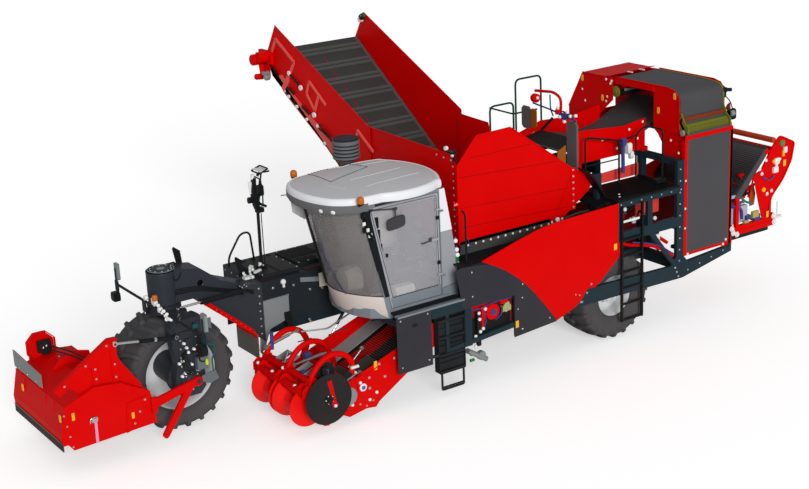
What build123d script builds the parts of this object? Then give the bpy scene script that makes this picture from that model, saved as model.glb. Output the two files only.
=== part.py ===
"""Self-propelled two-row potato harvester on three wheels, built in millimetres.

Stations: +X forward from the front wheel's axis, +Y to the machine's left from
its centreline, +Z up from the ground.  SHIFT moves every part from stations to
the part's own frame, whose origin is the bottom centre of the whole machine.
"""
import math
import os

from build123d import *

# Overall sizes and the heights that drive the rest
HALF_WIDTH = 1650.0          # outer faces of the side panels
SHEET = 12.0                 # folded sheet steel walls
FRONT_TYRE_R = 950.0
FRONT_TYRE_W = 950.0
FRONT_RIM_R = 630.0
STEER_Y = -500.0             # steering axis, over the front wheel's middle
REAR_X = -7750.0             # rear axle line
REAR_TYRE_R = 810.0
REAR_TYRE_W = 850.0
REAR_RIM_R = 395.0
REAR_TYRE_IN = 720.0         # inner face of a rear tyre from the centreline
RUN = 0.05                   # radial running clearance of every pin
DECK_Z = 2000.0              # top of the engine housing
CAB_FLOOR = 1680.0
CAB_TOP = 3480.0
CAB_LEFT = 1350.0
CAB_RIGHT = -350.0
TANK_LEFT = 1100.0
TANK_FRONT = -4660.0
TANK_REAR = -6620.0
TANK_FLOOR = 2340.0
LIFT_Y = -1600.0             # discharge elevator's hinge line
LIFT_Z = 2450.0
DIG_X = -4150.0              # digging unit's hinge line
DIG_Z = 1130.0
SHIFT = (4980.0, 1730.0, 0.0)


def block(x0, x1, y0, y1, z0, z1):
    """Box between two corners."""
    return Pos((x0 + x1) / 2, (y0 + y1) / 2, (z0 + z1) / 2) * Box(abs(x1 - x0), abs(y1 - y0), abs(z1 - z0))


def side_plate(points, y0, y1):
    """Plate lying in a lengthways plane: a closed loop of (x, z) carried from y0 to y1."""
    loop = Polyline(*[(x, y0, z) for x, z in points], close=True)
    return extrude(make_face(loop), amount=y1 - y0, dir=(0, 1, 0))


def cross_plate(points, x0, x1):
    """Plate lying across the machine: a closed loop of (y, z) carried from x0 to x1."""
    loop = Polyline(*[(x0, y, z) for y, z in points], close=True)
    return extrude(make_face(loop), amount=x1 - x0, dir=(1, 0, 0))


def flat_plate(points, z0, z1):
    """Level plate: a closed loop of (x, y) carried from z0 to z1."""
    loop = Polyline(*[(x, y, z0) for x, y in points], close=True)
    return extrude(make_face(loop), amount=z1 - z0, dir=(0, 0, 1))


def rod(start, end, radius):
    """Round bar between two points."""
    a, b = Vector(*start), Vector(*end)
    return Plane(origin=(a + b) / 2, z_dir=(b - a).normalized()) * Cylinder(radius, (b - a).length)


def pipe(points, radius):
    """Bent round tube: bars between the points with a ball at each bend."""
    body = rod(points[0], points[1], radius)
    for a, b in zip(points[1:], points[2:]):
        body += rod(a, b, radius) + Pos(*a) * Sphere(radius * 1.04)
    return body


def beam(start, end, wide, high):
    """Square tube between two points in one lengthways or level plane."""
    a, b = Vector(*start), Vector(*end)
    along = (b - a).normalized()
    across = Vector(0, 1, 0) if abs(along.Y) < 0.9 else Vector(1, 0, 0)
    frame = Plane(origin=(a + b) / 2, x_dir=across, z_dir=along)
    return frame * Box(wide, high, (b - a).length)


def turned(profile, x, y, z):
    """Body turned about a crosswise axis: (radius, offset along Y) points round the point x, y, z."""
    loop = Polyline(*[(x + r, y + o, z) for r, o in profile], close=True)
    return revolve(make_face(loop), axis=Axis((x, y, z), (0, 1, 0)))


def eye(point, radius, wide, bore):
    """Lug eye across the machine with a bore."""
    x, y, z = point
    body = rod((x, y - wide / 2, z), (x, y + wide / 2, z), radius)
    return body - rod((x, y - wide, z), (x, y + wide, z), bore)


NODES = {}
SEAM = 0.4                   # hair gap between the members of one bolted or welded frame


def keep(name, *shapes):
    """Register one named sub-part, or add further solids to one already there."""
    solids = [solid for shape in shapes for solid in shape.solids()]
    NODES[name] = Compound(NODES[name].solids() + solids if name in NODES else solids)


def weld(name, boxes, shapes=()):
    """Frame members as solids of their own: rows of (x0, x1, y0, y1, z0, z1), then other shapes.

    Each is cut back by the seam round the boxes before it, so every member stays simple.
    """
    placed, made = [], []
    for member in [*boxes, *shapes]:
        solid = block(*member) if isinstance(member, tuple) else member
        size = solid.bounding_box()
        low, high = tuple(size.min), tuple(size.max)
        for x0, x1, y0, y1, z0, z1 in placed:
            grown = ((x0 - SEAM, x1 + SEAM), (y0 - SEAM, y1 + SEAM), (z0 - SEAM, z1 + SEAM))
            if all(low[k] < grown[k][1] and high[k] > grown[k][0] for k in range(3)):
                solid = solid - block(*grown[0], *grown[1], *grown[2])
        made.append(solid)
        if isinstance(member, tuple):
            placed.append(member)
    keep(name, *made)


# ---------------------------------------------------------------- wheels
def tyre(x, y, z, r, w, bead):
    """Closed tyre ring with a crowned tread and rounded shoulders."""
    h, s = w / 2, r - bead
    profile = [(bead, -h * 0.80), (bead + s * 0.30, -h * 0.97), (bead + s * 0.55, -h),
        (r - s * 0.14, -h * 0.95),
               (r - 12, -h * 0.72), (r, -h * 0.30), (r, h * 0.30), (r - 12, h * 0.72), (r
               - s * 0.14, h * 0.95),
               (bead + s * 0.55, h), (bead + s * 0.30, h * 0.97), (bead, h * 0.80)]
    return turned(profile, x, y, z)


def rim(x, y, z, r, w, disc, hub_r, bore, side):
    """Rim barrel with a dished disc and a hub; the disc sits at offset disc along Y."""
    h = w * 0.40
    barrel = turned([(r, -h), (r, h), (r - 14, h), (r - 60, h * 0.80), (r - 60, -h * 0.80), (r - 14, -h)],
        x, y, z)
    plate = turned([(bore, disc), (hub_r, disc), (r * 0.72, disc + side * 45), (r - 55, disc + side * 10),
                    (r - 55, disc + side * 26), (r * 0.72, disc + side * 62), (hub_r, disc + side * 22),
                    (bore, disc + side * 22)], x, y, z)
    hub = turned([(bore, disc), (hub_r, disc), (hub_r, disc + side * 90), (bore, disc + side * 90)], x, y,
        z)
    return barrel + plate + hub


FRONT_SHAFT = 85.0
FRONT_DISC = -120.0          # disc offset to the right of the wheel's middle
keep("front_tyre", tyre(0, STEER_Y, FRONT_TYRE_R, FRONT_TYRE_R, FRONT_TYRE_W, FRONT_RIM_R - 30))
keep("front_rim", rim(0, STEER_Y, FRONT_TYRE_R, FRONT_RIM_R
    - 10, FRONT_TYRE_W, FRONT_DISC, 230.0, FRONT_SHAFT + RUN, -1)
     + turned([(FRONT_RIM_R - 12, -FRONT_TYRE_W * 0.40), (FRONT_RIM_R + 14, -FRONT_TYRE_W * 0.40 - 12),
               (FRONT_RIM_R + 14, -FRONT_TYRE_W * 0.40 - 2), (FRONT_RIM_R - 12, -FRONT_TYRE_W * 0.40 + 12)],
              0, STEER_Y, FRONT_TYRE_R))
REAR_SHAFT = 70.0
REAR_MID = REAR_TYRE_IN + REAR_TYRE_W / 2
for side, name in ((1, "left"), (-1, "right")):
    keep("rear_tyre_" + name,
        tyre(REAR_X, side * REAR_MID, REAR_TYRE_R, REAR_TYRE_R, REAR_TYRE_W, REAR_RIM_R - 25))
    keep("rear_rim_" + name, rim(REAR_X, side * REAR_MID, REAR_TYRE_R, REAR_RIM_R, REAR_TYRE_W,
                                 side * 60.0, 150.0, REAR_SHAFT + RUN, side))

# ---------------------------------------------------------------- steering leg
HEAD_R = 240.0
HEAD_Z0, HEAD_Z1 = 2050.0, 2590.0
KINGPIN_R = 90.0
leg = rod((0, STEER_Y, 1915), (0, STEER_Y, HEAD_Z0 - 6), 270)
leg += rod((0, STEER_Y, HEAD_Z0 - 6), (0, STEER_Y, HEAD_Z1 - 40), KINGPIN_R)
leg += block(-160, 160, STEER_Y, 290, 1915, 1990)
leg += side_plate([(-230, 1990), (230, 1990), (275, 1800), (260, 1560), (210, 1240), (250, 1060),
    (250, 800), (150, 690),
                   (-150, 690), (-250, 800), (-250, 1060), (-200, 1300), (-240, 1620)], 60, 250)
leg += turned([(0, -668), (250, -668), (250, -120), (300, -90), (300, 0), (0, 0)], 0, 60, FRONT_TYRE_R)
leg += rod((0, STEER_Y + FRONT_DISC + 20, FRONT_TYRE_R), (0, STEER_Y + FRONT_DISC - 130, FRONT_TYRE_R),
    FRONT_SHAFT)
ARM_X, ARM_Z = -60.0, 960.0          # lower arm's rear pin on the leg
LINK_X, LINK_Z = 230.0, 1760.0       # top link's rear pin on the leg
leg += rod((ARM_X, 240, ARM_Z), (ARM_X, 420, ARM_Z), 35)
leg += rod((LINK_X, 200, LINK_Z), (LINK_X, 375, LINK_Z), 22)
LEVER = (-50.0, -100.0, 2040.0)      # steering cylinder's pin on the leg
leg += rod((-50, -100, 1985), (-50, -100, 2015), 45)
keep("steering_leg", leg)

# ---------------------------------------------------------------- gooseneck and its mudguard
NECK = [(-60, 2580), (-210, 2600), (-580, 2530), (-950, 2235), (-1390, 2060), (-1660, 2020), (-1660, 1000),
        (-1400, 1230), (-560, 1945), (-480, 2056), (-60, 2056)]
neck_outer = side_plate(NECK, -700, -300)
NECK_INNER = [(-60, 2550), (-205, 2570), (-570, 2500), (-935, 2205), (-1380, 2030), (-1640, 1995),
    (-1640, 1060),
              (-1405, 1262), (-585, 1965), (-495, 2080), (-60, 2080)]
neck = neck_outer - side_plate(NECK_INNER, -680, -320) - rod((-560, -720, 2290), (-560, -280, 2290), 52)
neck += rod((0, STEER_Y, HEAD_Z0), (0, STEER_Y, HEAD_Z1), HEAD_R)
neck -= rod((0, STEER_Y, HEAD_Z0 - 20), (0, STEER_Y, HEAD_Z1 - 38), KINGPIN_R + RUN)
NECK_PIN = (-1250.0, -140.0, 2040.0)
neck += block(-1310, -1190, -305, -90, 1978, 1990) + block(-1310, -1190, -305, -90, 2090, 2102)
neck += rod((-1250, -140, 1978), (-1250, -140, 2102), 22)
keep("front_neck", neck)
guard = side_plate([(-600, 1905), (-760, 1768), (-780, 1791), (-620, 1928)], -860, -240)
guard += side_plate([(-760, 1768), (-1420, 1205), (-1440, 1228), (-780, 1791)], -860, -140)
guard += side_plate([(-1420, 1205), (-1440, 930), (-1446, 930), (-1440, 1228)], -860, -140)
keep("front_mudguard", guard)


def cylinder_pair(name, base, end, barrel_r, rod_r, barrel_long, inserted, pin_r, axis):
    """Hydraulic cylinder between two pins: a bored barrel and its rod, eyes turned along axis."""
    a, b, t = Vector(*base), Vector(*end), Vector(*axis)
    u = (b - a).normalized()
    half = 19.0

    def ring(c, r):
        return rod(tuple(c - t * half), tuple(c + t * half), r)

    def hole(c):
        return rod(tuple(c - t * 80), tuple(c + t * 80), pin_r + RUN)

    tube = rod(tuple(a + u * (pin_r + 12)), tuple(a + u * barrel_long), barrel_r) + ring(a, pin_r
        + 18) - hole(a)
    tube -= rod(tuple(a + u * (pin_r + 45)), tuple(a + u * (barrel_long + 10)), rod_r + RUN)
    start = a + u * (barrel_long - inserted)
    bar = rod(tuple(start), tuple(b - u * (pin_r + 8)), rod_r) + ring(b, pin_r + 16) - hole(b)
    keep(name + "_barrel", tube)
    keep(name + "_rod", bar)


cylinder_pair("steering_cylinder", NECK_PIN, LEVER, 42.0, 20.0, 800.0, 400.0, 22.0, (0, 0, 1))

# ---------------------------------------------------------------- haulm topper
TOP_Y0, TOP_Y1 = -1640.0, 340.0
TOP_PIN = (1230.0, 330.0, 1910.0)    # top link's pin on the topper
hood_out = [(2210, 520), (2225, 700), (2130, 1130), (1620, 1320), (1180, 1270), (1010, 1060), (1000, 520)]
hood_in = [(2196, 510), (2212, 698), (2120, 1120), (1618, 1307), (1187, 1258), (1022, 1055), (1012, 510)]
hood = side_plate(hood_out, TOP_Y0, TOP_Y1) - side_plate(hood_in, TOP_Y0 + 12, TOP_Y1 - 12)
hood += side_plate([(2050, 410), (2225, 640), (2130, 1130), (1620, 1320), (1150, 1240), (745, 1010),
    (680, 470)], TOP_Y1 - 14, TOP_Y1)
hood += side_plate([(2050, 410), (2225, 640), (2000, 900), (1010, 900), (1000, 440)], TOP_Y0, TOP_Y0 + 12)
hood += side_plate([(1150, 1240), (745, 1010), (680, 470), (700, 470), (770, 990), (1160, 1220)], 60,
    TOP_Y1)
hood += side_plate([(2230, 1370), (1290, 1965), (1160, 1960), (1150, 1860), (1230, 1840), (2130, 1270)],
    150, 250)
hood += block(1500, 1600, 150, 250, 1290, 1680) + block(1180, 1280, 150, 250, 1235, 1860)
hood += rod((1230, 200, 1910), (1230, 300, 1910), 22)
octagon = [(1710 + 235 * math.cos(math.radians(22.5 + 45 * k)), 1430
    + 235 * math.sin(math.radians(22.5 + 45 * k))) for k in range(8)]
hood += side_plate(octagon, TOP_Y0, TOP_Y0 + 90) + block(1500, 1900, TOP_Y0, TOP_Y0 + 60, 1180, 1400)
hood += side_plate([(1850, 1225), (1150, 1245), (1190, 1440), (1420, 1500), (1700, 1400)], -860, -845)
keep("haulm_topper", hood)
keep("haulm_topper", cross_plate([(TOP_Y0 + 5, 1180), (-480, 1180), (-480, 1395), (TOP_Y0 + 5, 1450)], 2122,
    2134)
     + block(2105, 2134, -700, -600, 1120, 1200) + block(2105, 2134, -1500, -1400, 1120, 1200))
keep("topper_skirt", block(2206, 2222, TOP_Y0, TOP_Y1, 430, 560))
arms = eye((ARM_X, 360, ARM_Z), 75.0, 60.0, 35.0 + RUN)
arms += side_plate([(-30, 1020), (700, 870), (700, 720), (0, 890)], 335, 385)
arms += side_plate([(0, 930), (120, 960), (610, 240), (520, 190)], 335, 385)
arms += rod((565, 330, 215), (565, 390, 215), 45)
arms -= rod((ARM_X, 300, ARM_Z), (ARM_X, 420, ARM_Z), 35.0 + RUN)
arms += block(670, 760, 338, 385, 640, 900)
keep("haulm_topper", arms)
ROTOR_X, ROTOR_Z = 1600.0, 790.0
rotor = rod((ROTOR_X, TOP_Y0 + 12.2, ROTOR_Z), (ROTOR_X, TOP_Y1 - 14.2, ROTOR_Z), 80)
for k in range(9):
    y = TOP_Y0 + 150 + k * 210
    a = math.radians(40 * k)
    tip = (ROTOR_X + 310 * math.cos(a), y, ROTOR_Z + 310 * math.sin(a))
    back = (ROTOR_X - 310 * math.cos(a), y, ROTOR_Z - 310 * math.sin(a))
    rotor += beam(tip, back, 60, 14)
keep("topper_rotor", rotor)
cylinder_pair("top_link", (LINK_X, 340.0, LINK_Z), (TOP_PIN[0], 340.0, TOP_PIN[2]), 34.0, 18.0, 620.0,
    250.0, 22.0, (0, 1, 0))

# ---------------------------------------------------------------- digging unit
DIG_L, DIG_R = 1500.0, 20.0
DIG_SIDE = [(-1900, 240), (-1960, 560), (-2300, 800), (-3900, 1345), (DIG_X - 60, 1230), (DIG_X - 60, 1040),
    (-3700, 860), (-2650, 230), (-2100, 130)]
dig = side_plate(DIG_SIDE, DIG_L - SHEET, DIG_L) + side_plate(DIG_SIDE, DIG_R, DIG_R + SHEET)
dig += side_plate([(-1620, 120), (-2050, 330), (-2070, 310), (-1700, 105)], DIG_R, DIG_L)
dig += rod((-2000, DIG_R, 640), (-2000, DIG_L, 640), 55) + rod((-2560, DIG_R, 320), (-2560, DIG_L, 320), 40)
dig += rod((-3650, DIG_R, 1220), (-3650, DIG_L, 1220), 40)
HOOPS = (65.0, 760.0, 1455.0)
for y in HOOPS:
    dig += pipe([(-1420, y, 700), (-1460, y, 960), (-1640, y, 1180), (-1900, y, 1260), (-2130, y, 1165),
        (-2230, y, 960), (-2100, y, 700), (-2000, y, 640)], 38)
    dig += side_plate([(-1350, 430), (-1350, 640), (-1400, 880), (-1560, 900), (-1900, 700), (-2010, 600),
        (-1520, 420)], y - 8, y + 8)
dig += rod((-1540, HOOPS[0], 860), (-1540, HOOPS[2], 860), 45)
ROLL_X, ROLL_Z = -1420.0, 470.0
DISC = (-1670.0, 1610.0, 600.0)
dig += side_plate([(-1620, 560), (-1630, 900), (-1800, 980), (-2050, 700), (-2010, 580), (-1760, 560)],
    1550, 1566)
dig += rod((-1980, DIG_L - 12, 620), (-1980, 1560, 620), 40)
dig += rod((DISC[0], 1550, DISC[2]), (DISC[0], 1640, DISC[2]), 25)
dig += rod((DIG_X, DIG_R - 50, DIG_Z), (DIG_X, DIG_R + 12, DIG_Z), 40)
dig += rod((DIG_X, DIG_L - 12, DIG_Z), (DIG_X, DIG_L + 40, DIG_Z), 40)
dig += rod((ROLL_X, HOOPS[0] - 20, ROLL_Z), (ROLL_X, HOOPS[2] + 20, ROLL_Z), 28)
LIFT_LUG = (-2750.0, -30.0, 880.0)
dig += side_plate([(-2750, 940), (-2680, 880), (-2700, 800), (-2800, 800), (-2820, 880)], DIG_R - 12, DIG_R
    + 12)
dig += rod((-2750, -18, 880), (-2750, 20, 880), 22)
keep("digger_frame", dig)
web = side_plate([(-2060, 330), (-4090, 1215), (-4110, 1175), (-2080, 290)], DIG_R + 14, DIG_L - 14)
web += side_plate([(-2640, 270), (-4060, 1080), (-4075, 1050), (-2655, 240)], DIG_R + 14, DIG_L - 14)
for y in (DIG_R + 12, DIG_L - 62):
    web += side_plate([(-2060, 330), (-4090, 1215), (-4060, 1080), (-2640, 270)], y, y + 50)
keep("digger_web", web)
ROLL_PROFILE = [(28 + RUN, -285), (330, -285), (330, -262), (300, -220), (215, -110), (190, 0), (215, 110),
    (300, 220),
                (330, 262), (330, 285), (28 + RUN, 285)]
keep("depth_roller_right", turned(ROLL_PROFILE, ROLL_X, 430, ROLL_Z))
keep("depth_roller_left", turned(ROLL_PROFILE, ROLL_X, 1090, ROLL_Z))
disc = turned([(25 + RUN, -8), (70, -8), (310, -14), (420, -5), (420, -1), (310, -4), (70, 8), (70, 20),
    (25 + RUN, 20)], *DISC)
keep("coulter_disc", disc)

# ---------------------------------------------------------------- main frame
SIDE_Y = HALF_WIDTH - 90.0
OUT0, OUT1 = HALF_WIDTH - 70.0, HALF_WIDTH            # a side frame's inner and outer faces
SIDE_FRAME = [                                        # x0, x1, z0, z1
    (-9280, -9110, 1080, 3060), (-9280, -7700, 1840, 2020), (-9280, -7680, 2470, 2580),
    (-8510, -8400, 1840, 2480), (-7770, -7680, 1840, 2480)]
SIDE_PAIRS = [                                        # x0, x1, inner y, outer y, z0, z1
    (-6740, -6660, 565, 685, 1240, 2340), (-9270, -9150, 565, 685, 1240, 3060), (-6740, -6660, 600, SIDE_Y,
    1700, 1860),
    (REAR_X - 160, REAR_X + 160, 545, 585, 640, 1010)]
CENTRE = [                                            # x0, x1, y0, y1, z0, z1
    (-9280, -1660, -685, -565, 1000, 1240), (-9280, -6640, 565, 685, 1000, 1240),
    (-6760, -6640, -SIDE_Y, SIDE_Y, 1020, 1200), (-9280, -9100, -OUT0, OUT0, 1020, 1200),
    (-4470, -4330, -690, 1560, 1400, 1520), (-3180, -3060, -690, 1560, 1400, 1520),
    (-3180, -3060, -1640, -680, 1000, 1240), (-4450, -4330, -1640, -680, 1000, 1240),
    (-4470, -4330, -690, -565, 1240, 1400), (-3180, -3060, -690, -565, 1240, 1400),
    (-4470, -3060, 1480, 1560, 1400, 1520), (-4470, -4330, 1556, 1604, 1400, 1520),
    (-4470, -4330, 1600, 1640, 780, 1520), (-4000, -3940, SIDE_Y, HALF_WIDTH - 10, 780, 1500),
    (REAR_X - 110, REAR_X + 110, -560, 560, 700, 920)]
UPPER = [
    (-6740, -6660, -690, 690, 2250, 2340), (-9280, -9160, -OUT0, OUT0, 2950, 3060),
    (-4680, -4560, -690, -560, 1240, 2340), (-4680, -4560, 560, 690, 1520, 2340), (-4680, -4330, 560, 690,
    1400, 1520),
    (-6740, -4560, -690, -560, 2220, 2340), (-6740, -4560, 560, 690, 2220, 2340), (-4680, -4560, -690, 690,
    2220, 2340)]
frame_boxes = []
for s in (1, -1):
    frame_boxes += [(x0, x1, *sorted((s * OUT0, s * OUT1)), z0, z1) for x0, x1, z0, z1 in SIDE_FRAME]
frame_boxes += CENTRE
for s in (1, -1):
    frame_boxes += [(x0, x1, *sorted((s * y0, s * y1)), z0, z1) for x0, x1, y0, y1, z0, z1 in SIDE_PAIRS]
frame_boxes += UPPER
OUTER = [(-6640, 900), (-6640, 1180), (-7080, 1160), (-9140, 1110), (-10520, 1200), (-10520, 1075),
    (-9280, 840), (-9140, 840), (-6920, 880)]
STRUT = [(-8450, 1838), (-8560, 1838), (-9112, 1150), (-9112, 1110), (-9060, 1112)]
frame_shapes = [side_plate([(-3950, 760), (-3950, 840), (-5360, 960), (-6760, 1140), (-6760, 1060),
    (-5360, 870)], SIDE_Y, HALF_WIDTH - 10)]
for s in (1, -1):
    y0, y1 = sorted((s * OUT0, s * OUT1))
    frame_shapes += [side_plate(OUTER, y0, y1), side_plate(STRUT, y0, y1) - side_plate(OUTER, y0, y1)]
    motor = turned([(0, 580), (0, REAR_MID + 40), (165, REAR_MID + 40), (165, 700), (200, 700), (200, 580)],
        REAR_X, 0, REAR_TYRE_R)
    motor += rod((REAR_X, REAR_MID, REAR_TYRE_R), (REAR_X, REAR_MID + 210, REAR_TYRE_R), REAR_SHAFT)
    frame_shapes.append(motor if s == 1 else mirror(motor, about=Plane.XZ))
hinge_bore = rod((DIG_X, DIG_R - 200, DIG_Z), (DIG_X, DIG_L + 200, DIG_Z), 40 + RUN)
frame_shapes += [block(DIG_X - 80, DIG_X + 80, DIG_R - 60, DIG_R - 20, DIG_Z - 80, 1410)
    + block(-4470, DIG_X + 80, DIG_R - 60, DIG_R - 20, 1300, 1410)
                 - hinge_bore,
                 block(DIG_X - 80, DIG_X + 80, DIG_L + 8, DIG_L + 40, DIG_Z
                 - 80, 1410) + block(-4470, DIG_X + 80, DIG_L + 8, DIG_L + 40, 1300, 1410)
                 - hinge_bore]
frame_shapes.append(block(-3160, -3080, -94, -82, 1330, 1402) + block(-3160, -3080, -18, -6, 1330, 1402)
                    + rod((-3120, -94, 1360), (-3120, -6, 1360), 22))
ELEV_BASE = (-5600.0, -780.0, 1700.0)        # elevator cylinder's lower pin
for x0, x1 in ((-4620, -4560), (-6740, -6660)):
    lug = block(x0, x1, LIFT_Y - 90, -1480, 2280, LIFT_Z + 90) + block(x0, x1, -1520, -600, 2280, 2338)
    frame_shapes.append(lug - rod((x0 - 5, LIFT_Y, LIFT_Z), (x1 + 5, LIFT_Y, LIFT_Z), 40 + RUN))
frame_shapes.append(block(-5662, -5650, -860, -680, 1040, 1780)
    + block(-5550, -5538, -860, -680, 1040, 1780)
                    + rod((-5662, -780, 1700), (-5538, -780, 1700), 22))
weld("main_frame", frame_boxes, frame_shapes)

# ---------------------------------------------------------------- engine housing on the right
HOUSE_L = -365.0
HOUSE_X0, HOUSE_X1, TOWER_X, TOWER_L, TOWER_Z = -4450, -1660, -3650, -400, 3150
weld("engine_housing", [
    (HOUSE_X1 - SHEET, HOUSE_X1, -HALF_WIDTH, HOUSE_L, 1240.4, DECK_Z), (HOUSE_X0, HOUSE_X0
    + SHEET, -HALF_WIDTH, TOWER_L, 1240.4, TOWER_Z),
    (HOUSE_X0, HOUSE_X1, -HALF_WIDTH, SHEET - HALF_WIDTH, 1240.4, DECK_Z), (HOUSE_X0, HOUSE_X1, HOUSE_L
    - SHEET, HOUSE_L, 1240.4, DECK_Z),
    (HOUSE_X0, HOUSE_X1, -HALF_WIDTH, HOUSE_L, DECK_Z
    - SHEET, DECK_Z), (-3180, HOUSE_X1, -HALF_WIDTH, SHEET - HALF_WIDTH, 900, 1240),
    (TOWER_X - SHEET, TOWER_X, -HALF_WIDTH, TOWER_L, DECK_Z, TOWER_Z), (HOUSE_X0, TOWER_X, -HALF_WIDTH,
    SHEET - HALF_WIDTH, DECK_Z, TOWER_Z),
    (HOUSE_X0, TOWER_X, TOWER_L
    - SHEET, TOWER_L, DECK_Z, TOWER_Z), (HOUSE_X0, TOWER_X, -HALF_WIDTH, TOWER_L, TOWER_Z - SHEET, TOWER_Z),
    (-2500, -1780, -1250, -500, DECK_Z + SEAM, DECK_Z + 60), (-3200, -2600, -1500, -700, DECK_Z
    + SEAM, DECK_Z + 45)])
keep("engine", block(-4200, -2700, -1350, -700, 1240, 1930))
cleaner = rod((-3860, -1000, 3150.4), (-3860, -1000, 3600), 80)
cleaner += rod((-3860, -1000, 3590), (-3860, -1000, 3950), 225)
keep("engine_housing", cleaner)

# ---------------------------------------------------------------- cab
BASE = [(-4510, CAB_RIGHT), (-4510, CAB_LEFT), (-3070, CAB_LEFT), (-2820, 1130), (-2690, 830), (-2650, 500),
        (-2690, 170), (-2820, -130), (-3070, CAB_RIGHT)]
base = flat_plate(BASE, 1520, CAB_FLOOR)
base += side_plate([(-4510, 1680), (-4510, 1840), (-4104, 1790), (-4104, 1680)], CAB_LEFT - 40, CAB_LEFT)
base += block(-4510, -4480, CAB_RIGHT, CAB_LEFT, 1680, 1840)
keep("cab_shell", base)


def front_arc(x_side, bulge, z, inset):
    """Bowed outline at one height: out along a three-point arc and back along one set in by inset."""
    y0, y1, m = CAB_RIGHT + 30, CAB_LEFT - 30, (CAB_RIGHT + CAB_LEFT) / 2
    outer = ThreePointArc((x_side, y0, z), (x_side + bulge, m, z), (x_side, y1, z))
    inner = ThreePointArc((x_side, y1 - inset, z), (x_side + bulge - inset, m, z), (x_side, y0 + inset, z))
    return make_face([outer, Line((x_side, y1, z), (x_side, y1 - inset, z)), inner,
                      Line((x_side, y0 + inset, z), (x_side, y0, z))])


LEAN0, LEAN1 = -3020.0, -2650.0      # windscreen's side edge at the bottom and at the top
keep("windscreen", loft([front_arc(LEAN0, 380, CAB_FLOOR + 0.0, 10), front_arc(LEAN1, 480, CAB_TOP, 10)],
    ruled=True))
SIDES = ((CAB_LEFT - 60, CAB_LEFT - 12), (CAB_RIGHT + 12, CAB_RIGHT + 60))
REAR_Z = (1680.4, 1850, 3480)                # foot, knee and top of the leaning rear wall
REAR_X0, REAR_X1 = (-4480, -4470, -4200), (-4432, -4422, -4152)


def rear_at(xs, z):
    """Rear wall's place along X at one height, between the knee's straight runs."""
    k = 0 if z <= REAR_Z[1] else 1
    return xs[k] + (xs[k + 1] - xs[k]) * (z - REAR_Z[k]) / (REAR_Z[k + 1] - REAR_Z[k])


def rear_panel(z0, z1, y0, y1):
    """Part of the leaning rear wall between two heights."""
    rows = [z0, *[z for z in REAR_Z[1:2] if z0 < z < z1], z1]
    out = [(rear_at(REAR_X0, z), z) for z in rows]
    return side_plate(out + [(rear_at(REAR_X1, z), z) for z in reversed(rows)], y0, y1)


members = []
for y0, y1 in SIDES:
    members += [side_plate([(-3100, 1680.4), (-3010, 1680.4), (-2640, 3480), (-2730, 3480)], y0, y1),
        block(-4180, -4100, y0, y1, 1680.4, 3480),
                block(-4099.6, -2722, y0, y1, 3430, 3480),
                side_plate([(-4180.4, 1680.4), (-4431.6, 1680.4), (-4421.6, 1850), (-4180.4, 3306)], y0,
                y1)]
members.append(side_plate([(-4099.6, 1680.4), (-3100.4, 1680.4), (-3052, 1920), (-4099.6, 1920)], CAB_RIGHT
    + 12, CAB_RIGHT + 60))
INNER0, INNER1 = CAB_RIGHT + 120, CAB_LEFT - 120
members += [rear_panel(1680.4, 2350, CAB_RIGHT + 12, CAB_LEFT - 12),
    rear_panel(3380, 3480, CAB_RIGHT + 12, CAB_LEFT - 12),
            rear_panel(2350.4, 3379.6, CAB_RIGHT + 12, INNER0), rear_panel(2350.4, 3379.6, INNER1, CAB_LEFT
            - 12)]
keep("cab_shell", *members)
keep("cab_glass", side_plate([(-4100, 1920), (-3050, 1920), (-2745, 3430), (-4100, 3430)], CAB_RIGHT
    + 30, CAB_RIGHT + 38))
pane = side_plate([(-4450, 1850), (-4180, 3480), (-4174, 3480), (-4444, 1850)], CAB_RIGHT + 120, CAB_LEFT
    - 120)
keep("cab_glass", pane - block(-4600, -4100, CAB_RIGHT, CAB_LEFT, 1600, 2350)
    - block(-4600, -4100, CAB_RIGHT, CAB_LEFT, 3380, 3600))
ROOF = [(-4160, -400), (-4160, 1380), (-2750, 1440), (-2420, 1400), (-2180, 1180), (-2050, 850),
    (-2010, 500),
        (-2040, 150), (-2160, -150), (-2400, -380), (-2750, -430)]
roof = flat_plate(ROOF, CAB_TOP, 3590)
TOP0 = [(-4130, -360), (-4130, 1340), (-2750, 1400), (-2440, 1350), (-2220, 1150), (-2100, 840),
    (-2060, 500),
        (-2090, 160), (-2200, -120), (-2420, -340), (-2750, -390)]
TOP1 = [(-4050, -100), (-4050, 1080), (-2900, 1100), (-2700, 1060), (-2560, 930), (-2480, 740),
    (-2450, 500),
        (-2480, 260), (-2560, 70), (-2700, -60), (-2900, -100)]
roof += loft([make_face(Polyline(*[(x, y, 3590) for x, y in TOP0], close=True)),
              make_face(Polyline(*[(x, y, 3710) for x, y in TOP1], close=True))], ruled=True)
keep("cab_roof", roof)
seat = block(-4050, -3560, 330, 870, 1990, 2110)
seat += side_plate([(-4050, 2110), (-3950, 2110), (-4080, 2780), (-4180, 2780)], 350, 850)
seat += block(-3950, -3700, 470, 730, 1680, 1990) + block(-3900, -3350, -60, 240, 1680, 2200)
seat += rod((-3180, 600, 1680), (-3330, 600, 2330), 45) + rod((-3330, 600, 2330), (-3345, 600, 2360), 190)
keep("operator_seat", seat)
DOOR_GAP = 7.0
door = side_plate([(-3105 - DOOR_GAP, 1688), (-2743 - DOOR_GAP, 3420), (-4090, 3420), (-4090, 1688)],
    CAB_LEFT - 50, CAB_LEFT - 15)
door -= side_plate([(-3160, 1790), (-2840, 3350), (-4030, 3350), (-4030, 1790)], CAB_LEFT - 60, CAB_LEFT)
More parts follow.
